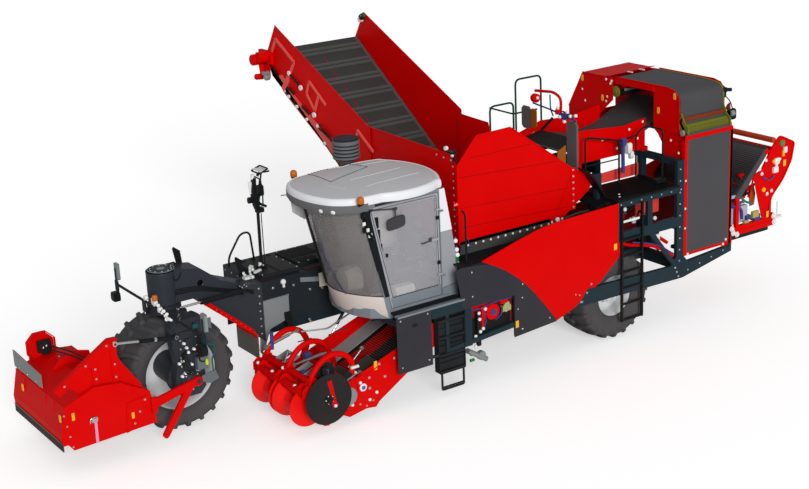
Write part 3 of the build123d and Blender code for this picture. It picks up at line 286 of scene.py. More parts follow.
def piece(name, shapes, material, body="chassis", sharp=35.0):
    """Joins shapes into one mesh object, closes its poles, turns its faces outwards and sets it
    on its body."""
    points, faces, n = [], [], 0
    for p, f in shapes:
        points.append(p)
        faces += [[k + n for k in face] for face in (f if isinstance(f, list) else f.tolist())]
        n += len(p)
    mesh = bpy.data.meshes.new(name)
    mesh.from_pydata(np.vstack(points).tolist(), [], faces)
    bm = bmesh.new()
    bm.from_mesh(mesh)
    bmesh.ops.remove_doubles(bm, verts=bm.verts, dist=2e-5)
    bmesh.ops.recalc_face_normals(bm, faces=bm.faces)
    bm.to_mesh(mesh)
    bm.free()
    mesh.shade_smooth()
    mesh.set_sharp_from_angle(angle=math.radians(sharp))
    mesh.materials.append(material)
    made = bpy.data.objects.new(name, mesh)
    scene.collection.objects.link(made)
    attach(made, body)
    return made


def coat(node, material):
    """Gives a frame node its surface."""
    mesh = nodes[node].data
    mesh.materials.clear()
    mesh.materials.append(material)


teal = finish("frame_teal_paint", (22, 44, 53), rough=0.42, vary=0.10, coat=0.15)
zinc = finish("zinc_bolts", (196, 198, 196), rough=0.34, metal=0.85, vary=0.08)
red = finish("red_paint", (209, 0, 0), rough=0.46, vary=0.05, dirt=0.03)
red.node_tree.nodes["Principled BSDF"].inputs["Specular IOR Level"].default_value = 0.04
rose = finish("rose_stiffeners", (226, 86, 80), rough=0.42, vary=0.06)
black = finish("black_paint", (20, 24, 27), rough=0.40, vary=0.12)
rubber = finish("belt_rubber", (62, 63, 61), rough=0.62, vary=0.10, grain=0.05)
coat("main_frame", teal)
FRAME_FACE = 1651.0                      # outer faces of the long beams, from the middle
bolts = []
for side in (1, -1):
    y = side * FRAME_FACE
    bolts += [bolt_row(13, 12, (-9180, y, 1180), (-9180, y, 2900), 9, (0, side, 0)),
        bolts_at(16, 14, [(-6700, y, 1130), (-6790, y, 1100), (-6830, y, 960), (-9080, y, 1070),
            (-9120, y, 980), (-9160, y, 890)], (0, side, 0)),
        bolt_row(12, 11, (-7760, y, 2525), (-9200, y, 2525), 7, (0, side, 0)),
        bolt_row(12, 11, (-10300, y, 1130), (-9400, y, 960), 4, (0, side, 0))]
piece("frame_bolts", bolts, zinc)
gussets = []
for side in (1, -1):
    lo, hi = sorted((side * (FRAME_FACE - 11), side * (FRAME_FACE - 2)))
    gussets += [slab([(-7640, 2470), (-7500, 2470), (-7640, 2330)], "y", lo, hi),
        slab([(-9110, 1080), (-8930, 1080), (-9110, 1290)], "y", lo, hi),
        slab([(-9280, 1080), (-9460, 1060), (-9280, 1260)], "y", lo, hi)]
    y = side * 622.0
    gussets += [bar((x, y, 1246), (x + 260, y, 1246), 20, 12) for x in range(-9000, -1900, 700)]
piece("frame_gussets", gussets, teal)

# ---------------------------------------------------------------- wheels
# Farm tyres with slanted lugs moulded on both halves of the tread, on silver
# pressed rims with bolted discs; the rear pair turn on hub motors.
def sweep_round(profile, centre, way=(0, 1, 0), count=48):
    """Profile of (radius, offset) points in millimetres turned round an axis through centre;
    open ends meet the axis."""
    way = unit(way)
    side = unit(np.cross(way, (0.0, 0.0, 1.0) if abs(way[2]) < 0.9 else (1.0, 0.0, 0.0)))
    rise = np.cross(side, way)
    a = np.arange(count) * 2 * np.pi / count
    p = np.asarray(profile, float) / 1000
    spoke = np.cos(a)[:, None] * side + np.sin(a)[:, None] * rise
    return skin(at(centre) + p[:, None, :1] * spoke[None] + p[:, None, 1:] * way)


tyre_black = finish("tyre_rubber", (70, 70, 73), rough=0.72, vary=0.10, dirt=0.16, grain=0.06,
    scale=2.5)
silver = finish("rim_silver_paint", (216, 217, 219), rough=0.34, metal=0.12, vary=0.05, dirt=0.05)


def lugged_tyre(x, y, radius, width, bead, count, depth=46.0):
    """Tyre as radius(angle, place round the section): the section's own curve less a groove depth
    where no slanted lug stands."""
    h, s = width / 2, radius - bead
    table = np.array([(0.00, 0.76), (0.00, 0.80), (0.12, 0.90), (0.30, 0.97), (0.50, 1.0),
            (0.68, 0.995), (0.80, 0.97), (0.875, 0.93), (0.935, 0.86), (0.965, 0.72), (0.985, 0.50),
            (1.0, 0.25), (1.0, 0.0)])
    steps = np.r_[0, np.cumsum(np.hypot(np.diff(table[:, 0] * s), np.diff(table[:, 1] * h)))]
    place = np.linspace(0, steps[-1], 40)
    r = np.interp(place, steps, table[:, 0]) * s + bead
    w = np.interp(place, steps, table[:, 1]) * h
    r, w = np.r_[r, r[-2::-1]], np.r_[w, -w[-2::-1]]
    around = np.arange(count * 22) * 2 * np.pi / (count * 22)
    half = np.sign(w + 1e-9)
    reach = np.abs(w) / h
    lean = np.where(half > 0, 0.0, 0.5) + 0.62 * np.sqrt(reach)
    phase = (around[:, None] * count / (2 * np.pi) - lean[None]) % 1.0
    wide = 0.17 + 0.05 * (1 - reach)
    lug = np.clip((wide[None] - np.abs(phase - 0.5)) / 0.05, 0, 1)
    lug = lug * lug * (3 - 2 * lug)
    inner = np.clip(reach / 0.06, 0, 1)[None]
    shoulder = np.clip((r - (bead + s * 0.60)) / (s * 0.16), 0, 1)[None]
    rib = 5.0 * np.clip(1 - np.abs((r - bead) / s - 0.42) / 0.035, 0,
        1) + 4.0 * np.clip(1 - np.abs((r - bead) / s - 0.16) / 0.03, 0, 1)
    groove = depth * shoulder * (1 - lug * inner)
    rr = r[None] - groove
    ww = w[None] - half[None] * (groove * 0.30 * np.clip((reach[None] - 0.8) / 0.15, 0, 1) + 6.0
        - rib[None])
    grid = np.stack([rr * np.cos(around)[:, None], ww, rr * np.sin(around)[:, None]], -1)
    return skin(at(grid + np.array([x, y, radius])), around=False, along=True)


def wheel_rim(x, y, z, r, width, disc, side, holes, studs, stud_ring):
    """Rim as a lathe section: rolled flanges, bead seats and a deep well, with a dished disc and
    its stud bolts."""
    h = width * 0.40
    barrel = [(r + 14, h + 10), (r + 16, h), (r, h - 14), (r - 8, h - 60), (r - 38, h - 84),
        (r - 44, h * 0.35), (r - 62, h * 0.2), (r - 62, -h * 0.2), (r - 44, -h * 0.35),
        (r - 38, -h + 84), (r - 8, -h + 60), (r, -h + 14), (r + 16, -h), (r + 14, -h - 10),
        (r - 4, -h - 8), (r - 22, -h + 12), (r - 54, -h + 92), (r - 72, 0), (r - 54, h - 92),
        (r - 22, h - 12), (r - 4, h + 8)]
    loop = np.array(barrel + barrel[:1])
    s = side
    dish = [(holes, disc), (stud_ring + 40, disc), (r * 0.72, disc + s * 46), (r - 64, disc + s * 12),
        (r - 64, disc + s * 30), (r * 0.72, disc + s * 64), (stud_ring + 40, disc + s * 24),
        (holes, disc + s * 24), (holes, disc)]
    parts = [sweep_round(loop, (x, y, z), count=72), sweep_round(dish, (x, y, z), count=72)]
    a = np.arange(studs) * 2 * np.pi / studs
    ring = at(np.stack([x + stud_ring * np.cos(a), np.full(studs, y + disc + s * 24),
            z + stud_ring * np.sin(a)], -1))
    return parts, stamp(bolt(17, 22), ring, (0, s, 0))


REAR_X, REAR_Y, REAR_R = -7750, 1145, 810
REAR_WIDTH, REAR_RIM = 850, 395
FRONT_Y, FRONT_R, FRONT_WIDTH, FRONT_RIM = -500, 950, 950, 620
for side, name in ((1, "left"), (-1, "right")):
    body = "rear_wheel_" + name
    made = piece(body + "_tyre", [lugged_tyre(REAR_X, side * REAR_Y, REAR_R, REAR_WIDTH, 372, 20, 40)],
        tyre_black, body, 50)
    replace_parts(made, "rear_tyre_" + name)
    parts, studs = wheel_rim(REAR_X, side * REAR_Y, REAR_R, REAR_RIM, REAR_WIDTH, side * 60.0, side,
        72.0, 10, 170.0)
    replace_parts(piece(body + "_disc", parts, silver, body), "rear_rim_" + name)
    piece(body + "_studs", [studs], zinc, body)
    cap = [(0, 262), (44, 262), (52, 254), (60, 236), (110, 232), (128, 216), (128, 96), (150, 84),
        (150, 60)]
    piece(body + "_hub_cap", [sweep_round([(r, side * o) for r, o in cap],
            (REAR_X, side * REAR_Y, REAR_R), count=40)], silver, body)
made = piece("front_wheel_tyre", [lugged_tyre(0, FRONT_Y, FRONT_R, FRONT_WIDTH, 602, 23)], tyre_black,
    "front_wheel", 50)
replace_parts(made, "front_tyre")
parts, studs = wheel_rim(0, FRONT_Y, FRONT_R, FRONT_RIM, FRONT_WIDTH, -120.0, -1, 88.0, 12, 210.0)
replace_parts(piece("front_wheel_disc", parts, silver, "front_wheel"), "front_rim")
piece("front_wheel_studs", [studs], zinc, "front_wheel")
piece("front_wheel_hub_cap", [sweep_round([(0, -262), (60, -262), (84, -250), (92, -210), (170, -204),
        (182, -188), (182, -144)], (0, FRONT_Y, FRONT_R), count=40)], silver,
    "front_wheel")

# ---------------------------------------------------------------- gooseneck and steering leg
# Dark welded box neck with a kingpin head, and the leg that carries the wheel;
# cap ring, bolted flanges, grease lines, hoses and the two marker posts.
def circle(radius, count=12):
    """Round profile."""
    a = np.arange(count) * 2 * np.pi / count
    return np.stack([radius * np.cos(a), radius * np.sin(a)], -1)


def box(x0, x1, y0, y1, z0, z1, cut=0.06):
    """Block between two corners in millimetres, a bar along X with cut long edges."""
    return bar((x0, (y0 + y1) / 2, (z0 + z1) / 2), (x1, (y0 + y1) / 2, (z0 + z1) / 2), abs(y1 - y0),
        abs(z1 - z0), cut=cut)


def rounded(points, reach=60.0, steps=5):
    """Line of points with each corner turned on a short curve: a quadratic blend between
    points reach away."""
    p = np.asarray(points, float)
    a, b, c = p[:-2], p[1:-1], p[2:]
    da, dc = a - b, c - b
    la, lc = np.linalg.norm(da, axis=1)[:, None], np.linalg.norm(dc, axis=1)[:, None]
    s, e = b + da / la * np.minimum(reach, la * 0.48), b + dc / lc * np.minimum(reach, lc * 0.48)
    u = np.linspace(0, 1, steps)[None, :, None]
    mid = (1 - u) ** 2 * s[:, None] + 2 * u * (1 - u) * b[:, None] + u ** 2 * e[:, None]
    return np.vstack([p[:1], mid.reshape(-1, p.shape[1]), p[-1:]])


def tube(points, radius, reach=60.0, count=12):
    """Round pipe or hose through points in millimetres with its corners turned."""
    line = rounded(points, reach) if len(points) > 2 else np.asarray(points, float)
    way = line[-1] - line[0]
    up = (0.03, 1.0, 0.05) if abs(way[1]) < 0.7 * np.linalg.norm(way) else (1.0, 0.04, 0.02)
    return carry(circle(radius / 1000, count), at(line), up)


slate = finish("slate_paint", (44, 49, 56), rough=0.42, vary=0.10, coat=0.12)
hose = finish("hose_rubber", (24, 25, 27), rough=0.55, vary=0.08, grain=0.04)
white_plastic = finish("white_fittings", (226, 227, 225), rough=0.42, vary=0.05)
grey_paint = finish("grey_plate_paint", (128, 136, 136), rough=0.45, vary=0.08)
for node in ("front_neck", "steering_leg"):
    coat(node, slate)
head = [(0, 2605), (150, 2605), (190, 2602), (196, 2590), (236, 2590), (242, 2580), (242, 2560),
    (236, 2556), (236, 2100), (242, 2092), (242, 2062), (120, 2062)]
piece("kingpin_head", [sweep_round([(r, z - 2050) for r, z in head], (0, -500, 2050), (0, 0, 1), 48)],
    slate)
a = np.arange(10) * np.pi / 5
piece("kingpin_bolts", [bolts_at(12, 12, np.stack([172 * np.cos(a), -500 + 172 * np.sin(a),
        np.full(10, 2605)], -1))], zinc)
piece("kingpin_seal", [sweep_round([(205, 2607), (212, 2612), (219, 2607), (212, 2600), (205, 2607)],
        (0, -500, 0), (0, 0, 1), 48), sweep_round([(0, 2606), (62, 2606), (66, 2612), (0, 2614)],
        (0, -500, 0), (0, 0, 1), 24)], grey_paint)
piece("neck_hook", [tube([(-150, -500, 2590), (-150, -500, 2660), (-250, -500, 2660),
        (-250, -500, 2600)], 10, 20), tube([(-120, -330, 2600), (-90, -290, 2560), (-110, -280, 2440),
        (-190, -284, 2430), (-240, -288, 2520), (-260, -330, 2600)], 9, 50)], black)
posts = []
for x, z in ((-430, 2500), (-1520, 2085)):
    posts.append(slab([(x + 40, z), (x + 95, z + 300), (x + 70, z + 330), (x - 30, z + 250),
            (x - 55, z)], "y", -740, -712))
    posts.append(box(x - 60, x + 60, -745, -690, z - 20, z + 20))
piece("marker_posts", posts, black)
neck_lines = [tube([(-60, -290, 2200 + 26 * k), (-500, -288, 2180 + 26 * k),
        (-900, -288, 2060 + 18 * k), (-1500, -288, 1880 + 20 * k)], 8, 160) for k in range(4)]
piece("neck_hoses", neck_lines, hose)
piece("neck_bolts", [bolt_row(13, 12, (-1600, -299, 1150), (-1600, -299, 1940), 7, (0, 1, 0)),
        bolt_row(13, 12, (-1600, -701, 1150), (-1600, -701, 1940), 7, (0, -1, 0)),
        bolt_row(11, 12, (-1290, -200, 2103), (-1290, -120, 2103), 2),
        bolt_row(11, 10, (-1210, -200, 2103), (-1210, -120, 2103), 2)], zinc)
piece("neck_weld_rings", [sweep_round([(52, 0), (66, 0), (70, 6), (60, 10), (52, 6)],
        (-560, -300, 2290), (0, 1, 0), 32)], slate)
valves = [sweep_round([(0, -14), (16, -14), (16, 10), (22, 12), (22, 34), (0, 34)], c, (0, 0, 1), 14)
    for c in ((-1560, -420, 2110), (-1600, -540, 2100), (-1480, -560, 2150), (-1640, -640, 2120))]
valves += [box(-1640, -1470, -600, -500, 2060, 2100)]
piece("neck_valves", valves, white_plastic)
leg_parts = [slab([(-190, 1000), (190, 1000), (170, 1700), (130, 1780), (-150, 1780), (-180, 1600)],
        "y", 250, 262), sweep_round([(0, 318), (90, 318), (104, 308), (104, 292), (168, 288),
        (176, 276), (176, 262)], (0, 0, 950), (0, 1, 0), 40), box(-110, 110, 262, 300, 1180, 1420),
    box(-60, 60, 262, 290, 1520, 1660)]
leg_parts += [box(-200, 225, 20, 262, 1786, 1968, 0.06),
    slab([(171, 1700), (240, 1700), (196, 1190), (191, 1190)], "y", 236, 258),
    slab([(-182, 1600), (-192, 1190), (-196, 1190), (-215, 1660), (-205, 1780), (-152, 1780)], "y",
        236, 258), box(190, 262, 30, 240, 1800, 1960, 0.1),
    bar((262, 80, 1955), (262, 80, 1560), 60, 30), bar((262, 150, 1955), (262, 150, 1420), 44, 24)]
piece("leg_side_plates", leg_parts, slate, "steering_leg")
guards = [box(-230, -50, 330, 425, 1150, 1350, 0.12),
    slab([(-90, 1060), (-330, 1110), (-380, 950), (-240, 900), (-110, 960)], "y", 440, 452),
    slab([(-330, 1980), (-220, 1980), (-220, 1840), (-330, 1800)], "y", 440, 448)]
piece("leg_guard_plates", guards, finish("guard_grey", (98, 104, 110), rough=0.5),
    "steering_leg")
arms = [tube([(-350, 440, 1580), (-350, 446, 1400), (-290, 446, 1300), (-300, 446, 1090)], 13, 40),
    tube([(-350, 440, 1500), (-250, 440, 1560), (-150, 420, 1520)], 12, 40),
    box(-110, -20, 420, 440, 1860, 1930, 0.2), tube([(-200, 300, 1560), (-200, 430, 1560)], 14)]
piece("leg_teal_arms", arms, finish("arm_teal", (20, 84, 84), rough=0.42), "steering_leg")
piece("leg_side_lamp", [sweep_round([(0, 0), (58, 0), (70, 14), (70, 60), (50, 84), (0, 90)],
        (-160, 400, 1510), (0.3, 1, 0), 28), tube([(-160, 420, 1440), (-60, 470, 1380),
        (-100, 440, 1290), (-220, 420, 1280)], 10, 60)], black, "steering_leg")
piece("leg_yellow_bottle", [sweep_round([(0, 0), (26, 0), (28, 60), (16, 72), (12, 90), (0, 92)],
        (-200, 446, 1230), (0, 0, 1), 18)], finish("bottle_yellow", (196, 214, 40), rough=0.4),
    "steering_leg")
a = np.arange(8) * np.pi / 4
leg_bolts = [bolts_at(12, 12, np.stack([138 * np.cos(a), np.full(8, 290.0), 950 + 138 * np.sin(a)], -1),
        (0, 1, 0)), bolt_row(12, 12, (-150, 262, 1080), (-140, 262, 1650), 5, (0, 1, 0)),
    bolt_row(12, 12, (150, 262, 1080), (130, 262, 1650), 5, (0, 1, 0))]
piece("leg_bolts", leg_bolts, zinc, "steering_leg")
couplings = []
for x, y, z in ((60, 300, 1530), (100, 300, 1610), (40, 300, 1450), (150, 300, 1330), (205, 296, 1300),
        (120, 300, 1120), (180, 305, 1085), (-60, 300, 1480), (-90, 306, 1130), (0, 300, 1240)):
    couplings += [sweep_round([(0, 0), (24, 0), (24, 26), (15, 30), (15, 62), (21, 66), (21, 88),
            (0, 88)], (x, y, z), (0.25, 1, 0.3), 14)]
piece("leg_couplings", couplings, white_plastic, "steering_leg")
leg_hoses = [tube([(60 + 30 * k, 300, 1490 - 20 * k), (110 + 40 * k, 390, 1440),
        (60 + 50 * k, 420, 1230 - 40 * k), (-40 + 40 * k, 330, 1090)], 9, 90) for k in range(3)]
leg_hoses += [tube([(-100, 270, 1900 - 20 * k), (-140 - 18 * k, 330, 1700), (-120 - 15 * k, 340, 1400),
        (-80, 300, 1180)], 9, 120) for k in range(4)]
piece("leg_hoses", leg_hoses, hose, "steering_leg")
chrome = finish("chrome_rod", (224, 226, 228), rough=0.16, metal=1.0, vary=0.03, dirt=0.04)
for cylinder in ("steering_cylinder", "top_link", "elevator_cylinder", "digger_cylinder"):
    coat(cylinder + "_barrel", black)
    coat(cylinder + "_rod", chrome)

# ---------------------------------------------------------------- front mudguard
# Red folded sheet behind the front wheel, bolted along both edges to the neck,
# with a grey rubber flap hanging below it.
def sheet(a0, a1, b0, b1, lie, low, high):
    """Rectangular slab: its two extents in the plane in millimetres, then its faces."""
    return slab([(a0, b0), (a1, b0), (a1, b1), (a0, b1)], lie, low, high)


coat("front_mudguard", red)
flap = finish("mud_flap_rubber", (100, 100, 95), rough=0.7, vary=0.10, grain=0.06)
edge_bolts = [bolts_at(11, 9, np.linspace((-775, y, 1799), (-1425, y, 1243), 9), (0.65, 0, 0.76))
    for y in (-835, -500, -225)]
piece("mudguard_bolts", edge_bolts, zinc)
u = np.linspace(0, 1, 9)[:, None]
v = np.linspace(0, 1, 9)[None, :]
sag = np.stack([-1450 - 26 * np.sin(np.pi * v) * u, -850 + 640 * v + 0 * u,
        1215 - (400 - 30 * np.cos(np.pi * v * 2)) * u], -1)
sheet_pair = np.concatenate([at(sag), at(sag + np.array([8.0, 0, 0]))[::-1]])
piece("mudguard_flap", [skin(sheet_pair, around=False, along=True),
        sheet(-868, -132, 1232, 800, "x", -1432, -1424)], flap)
stay = [bar((-640, y, 1935), (-1410, y, 1275), 40, 14, up=(0, 1, 0)) for y in (-820, -225)]
piece("mudguard_stays", stay, red)

# ---------------------------------------------------------------- haulm topper
# Red sheet hood over a flail rotor: folded edges, a belt guard and its black
# motor at the far end, a grey splash board in front and a rubber apron below.
def rod(start, end, radius, count, up):
    """Straight round rod between two points in millimetres; its radius is in metres."""
    return carry(circle(radius, count), at([start, end]), up)


coat("haulm_topper", red)
coat("topper_skirt", finish("apron_rubber", (56, 53, 56), rough=0.66, vary=0.12, grain=0.06))
coat("topper_rotor", finish("flail_steel", (96, 92, 88), rough=0.5, metal=0.6, vary=0.2))
piece("topper_splash_board", [slab([(-1645, 1178), (-475, 1178), (-475, 1398), (-1645, 1455)], "x",
        2136, 2142)], grey_paint, "haulm_topper")
piece("topper_brass_strip", [bar((2227, -1640, 566), (2227, 340, 566), 4, 14)],
    finish("brass_strip", (132, 116, 58), rough=0.4, metal=0.5), "haulm_topper")
folds = [bar((2216, -1638, 706), (2216, 338, 706), 10, 16, cut=0.3),
    bar((2134, -1638, 1128), (2134, 338, 1128), 12, 10, cut=0.3),
    bar((1622, -1638, 1320), (1622, 338, 1320), 14, 6, cut=0.3),
    bar((1180, -1638, 1270), (1180, 338, 1270), 14, 8, cut=0.3)]
folds += [slab([(1150, 905), (806, 950), (800, 520), (1190, 440)], "y", 340, 350),
    bar((1156, 352, 914), (800, 352, 960), 10, 12), bar((1150, 352, 905), (1190, 352, 440), 10, 12)]
folds += [slab([(1845, 1228), (1500, 1410), (1190, 1440), (1160, 1250)], "y", -862, -842)]
for y in (-1240, -360, -40):
    folds.append(strip(0.012, 0.028, [(2205, y, 640), (2150, y, 1080), (1640, y, 1322),
            (1200, y, 1278)], (0, 1, 0)))
folds.append(slab(rounded([(1262, 1880), (1120, 1560), (830, 1120), (806, 985), (1160, 1262),
        (1850, 1238), (2010, 1400), (1262, 1880)], 40)[:-1], "y", 216, 228))
piece("topper_folds", folds, red, "haulm_topper")
guard_ring = [(1710 + 252 * math.cos(math.radians(22.5 + 45 * k)), -1545,
        1430 + 252 * math.sin(math.radians(22.5 + 45 * k))) for k in range(8)]
piece("belt_guard_rim", [strip(0.018, 0.05, guard_ring, (0, 1, 0), loop=True)], red,
    "haulm_topper")
motor = [box(1590, 1800, -1490, -1400, 1370, 1560, 0.15),
    sweep_round([(0, -60), (64, -60), (72, -50), (72, 40), (92, 44), (92, 70), (108, 74), (108, 150),
        (98, 160), (68, 164), (68, 176), (0, 178)], (1705, -1500, 1450), (0, 1, 0), 32),
    box(1640, 1775, -1500, -1380, 1395, 1500, 0.2), box(1600, 1650, -1490, -1400, 1420, 1475, 0.2)]
piece("topper_motor", motor, black, "haulm_topper")
piece("topper_motor_ports", [sweep_round([(0, 0), (16, 0), (16, 30), (11, 34), (0, 36)], c,
        (0.3, 1, 0.5), 12) for c in ((1690, -1340, 1490), (1740, -1345, 1470), (1620, -1400, 1480))],
    white_plastic, "haulm_topper")
piece("topper_hoses", [tube([(1690, -1310, 1500), (1640, -1100, 1540), (1450, -700, 1500),
        (1330, -300, 1420), (1260, 0, 1400)], 12, 150), tube([(1740, -1320, 1480), (1690, -1080, 1500),
        (1480, -700, 1450), (1360, -300, 1400), (1290, 10, 1380)], 12, 150)], hose,
    "haulm_topper")
topper_bolts = [bolt_row(13, 11, (1050, 352, 560), (850, 352, 900), 3, (0, 1, 0)),
    bolt_row(11, 10, (2060, 341, 470), (2150, 341, 1000), 4, (0, 1, 0)),
    bolt_row(12, 12, (1330, 252, 1880), (2050, 252, 1420), 3, (0, 1, 0)),
    bolts_at(12, 12, [(1545, 252, 1400), (1545, 252, 1560), (1230, 252, 1350), (1230, 252, 1560)],
        (0, 1, 0)), bolt_row(11, 10, (1240, -1200, 1288), (1560, -1200, 1318), 3, (0, 0, 1)),
    bolt_row(11, 10, (1240, -300, 1288), (1560, -300, 1318), 3, (0, 0, 1)),
    bolt_row(12, 12, (2144, -1420, 1215), (2144, -700, 1215), 3, (1, 0, 0)),
    bolt_row(10, 9, (1030, -1500, 1062), (1030, 0, 1062), 7, (-1, 0, 0))]
piece("topper_bolts", topper_bolts, zinc, "haulm_topper")
latch = [sweep_round([(0, 0), (36, 0), (36, 10), (14, 12), (14, 34), (22, 38), (0, 40)],
        (1700, 340, 800), (0, 1, 0), 20), tube([(1760, 356, 770), (1755, 362, 850), (1640, 362, 850),
        (1640, 356, 800)], 9, 30), box(1640, 1700, 341, 356, 770, 830)]
piece("topper_latch", latch, chrome, "haulm_topper")
piece("topper_latch_strap", [slab([(1690, 790), (1650, 790), (1655, 425), (1700, 425)], "y", 341, 350)],
    finish("latch_strap_paint", (214, 150, 186), rough=0.4), "haulm_topper")
yellow = finish("yellow_stickers", (238, 172, 34), rough=0.38, vary=0.04, coat=0.3)
label = [sheet(2030, 1985, 890, 1010, "y", 341, 343), sheet(1090, 1045, 650, 750, "y", 351, 353)]
label += [sheet(y, y + 60, 900, 1010, "x", 2185, 2199) for y in (-1270, 250)]
piece("topper_stickers", label, yellow, "haulm_topper")
piece("top_link_ends", [sweep_round([(0, -26), (30, -26), (34, -18), (34, 18), (30, 26), (0, 26)],
        (230, 340, 1760), (0, 1, 0), 20)], chrome, "top_link_barrel")
piece("top_link_sleeve", [rod((300, 340, 1770), (560, 340, 1809), 0.031, 20, (0, 1, 0)),
        rod((560, 340, 1809), (600, 340, 1815), 0.037, 20, (0, 1, 0))], chrome,
    "top_link_barrel")

# ---------------------------------------------------------------- engine housing
# Folded slate sheet over the engine with a raised tower: bolted black covers and
# slotted grilles on top, a bent grey guard on the inner face, the air cleaner.
def knob(centre, tall, rim, shoulder, waist, way, count):
    """Rounded fitting about its centre: flat ends tall out, a rim at the shoulders and a waist between."""
    return sweep_round([(0, -tall), (rim, -shoulder), (waist, 0), (rim, shoulder), (0, tall)], centre,
        way, count)


house_paint = finish("housing_paint", (33, 39, 44), rough=0.44, vary=0.10, dirt=0.05)
grey_sheet = finish("grey_sheet", (140, 146, 148), rough=0.42, metal=0.25, vary=0.10)
steel = finish("bare_steel", (168, 170, 170), rough=0.36, metal=0.75, vary=0.10)
coat("engine_housing", house_paint)
coat("engine", finish("engine_casting", (70, 72, 74), rough=0.55, metal=0.4, vary=0.2, grain=0.06))
piece("inner_guard", [slab([(-1640, 1680), (-2170, 1690), (-2160, 1290), (-1990, 1230), (-1780, 1170),
        (-1650, 830), (-1610, 820), (-1740, 640), (-1690, 640), (-1568, 812), (-1600, 1200),
        (-1690, 1400)], "y", -362, -346), bar((-1640, -340, 1684), (-2170, -340, 1694), 30, 12)],
    grey_sheet)
piece("guard_bracket", [box(-2180, -2060, -362, -310, 1290, 1400, 0.1),
        slab([(-2060, 1290), (-2200, 1290), (-2200, 1090), (-2150, 1090)], "y", -360, -330)], black)
face = [(-2600, -365, 1670), (-2840, -365, 1640), (-3010, -365, 1470), (-2570, -365, 1110),
    (-1840, -365, 1330), (-2550, -365, 1150), (-2290, -365, 1820), (-1900, -365, 1860),
    (-3150, -365, 1790)]
piece("housing_bolts", [bolts_at(17, 15, face, (0, 1, 0)),
        bolt_row(12, 11, (-1659, -1560, 1930), (-1659, -460, 1930), 6, (1, 0, 0)),
        bolt_row(12, 11, (-1659, -1560, 1300), (-1659, -460, 1300), 6, (1, 0, 0))], zinc)
ball = sweep_round([(0, -46), (26, -40), (44, -18), (48, 6), (40, 30), (22, 44), (0, 48)],
    (-2090, -352, 1930), (0.2, 1, 0.3), 20)
studs = [ball, sweep_round([(0, 0), (22, 0), (22, 70), (0, 70)], (-2090, -340, 1840), (0, 0, 1), 16)]
studs += [knob(c, 26, 20, 22, 30, (0, 1, 0.3), 16) for c in ((-1850, -1010, 2080), (-1570, -700, 2075),
        (-1800, -840, 2080))]
studs += [sweep_round([(0, 0), (52, 0), (58, 14), (40, 44), (0, 50)], (-2010, -930, 2062), (0, 0, 1),
        20), bar((-1900, -760, 2078), (-1760, -700, 2078), 50, 34),
    bar((-1860, -960, 2085), (-1780, -900, 2085), 44, 60)]
piece("housing_fittings", studs, white_plastic)
piece("housing_strip", [slab([(-2420, 1925), (-3020, 1810), (-3020, 1730), (-2420, 1845)], "y", -363,
        -354)], finish("sill_grey", (118, 126, 132), rough=0.4))
covers = [sheet(-2490, -1790, -1240, -510, "z", 2060, 2066),
    bar((-2140, -1240, 2070), (-2140, -510, 2070), 20, 10), box(-3190, -2610, -1490, -710, 2045, 2051)]
covers += [bar((x, -1440, 2054), (x, -1000, 2054), 14, 12) for x in range(-3160, -2640, 34)]
covers += [bar((x, -930, 2054), (x, -740, 2054), 14, 12) for x in range(-3000, -2640, 34)]
covers += [bar((x, -1590, 2006), (x, -1540, 2006), 60, 12) for x in range(-2500, -1700, 160)]
covers += [box(-4440, -3660, -1640, -410, 3150, 3156),
    bar((-4440, -1000, 3160), (-3660, -1000, 3160), 16, 10)]
piece("deck_covers", covers, black)
piece("deck_vents", [sheet(-2960, -2560, -560, -420, "z", 2001, 2012),
        sheet(-2100, -1720, -480, -420, "z", 2001, 2018)],
    finish("vent_brown", (46, 30, 28), rough=0.6, vary=0.2))
deck_bolts = [bolt_row(11, 9, (x, -1220, 2066), (x, -530, 2066), 4) for x in (-2470, -1810)]
deck_bolts += [bolt_row(11, 9, (-3180, y, 2051), (-2620, y, 2051), 4) for y in (-1478, -722)]
deck_bolts += [bolt_row(11, 9, (-4400, y, 3156), (-3700, y, 3156), 4) for y in (-1610, -440)]
piece("deck_bolts", deck_bolts, zinc)
ribs = [sweep_round([(222, z), (236, z + 8), (236, z + 34), (222, z + 44)] + [(222, z)],
        (-3860, -1000, 0), (0, 0, 1), 40) for z in range(3600, 3900, 62)]
ribs += [sweep_round([(0, 3948), (150, 3950), (190, 3942), (228, 3915), (232, 3890), (180, 3880),
        (0, 3880)], (-3860, -1000, 0), (0, 0, 1), 40), sweep_round([(80, 3470), (120, 3500),
        (170, 3585), (80, 3590), (80, 3470)], (-3860, -1000, 0), (0, 0, 1), 32)]
piece("air_cleaner_ribs", ribs, finish("cleaner_plastic", (104, 104, 106), rough=0.5, vary=0.1))
louvre = [bar((-3645, y0, z), (-3645, y1, z), 26, 10) for z in range(2150, 3080, 60) for y0,
    y1 in ((-1600, -1060), (-980, -460))]
louvre += [bar((x, -1655, z), (x + 620, -1655, z), 26, 10) for z in range(1350, 1900, 62)
    for x in (-4300, -3560)]
piece("housing_louvres", louvre, black)

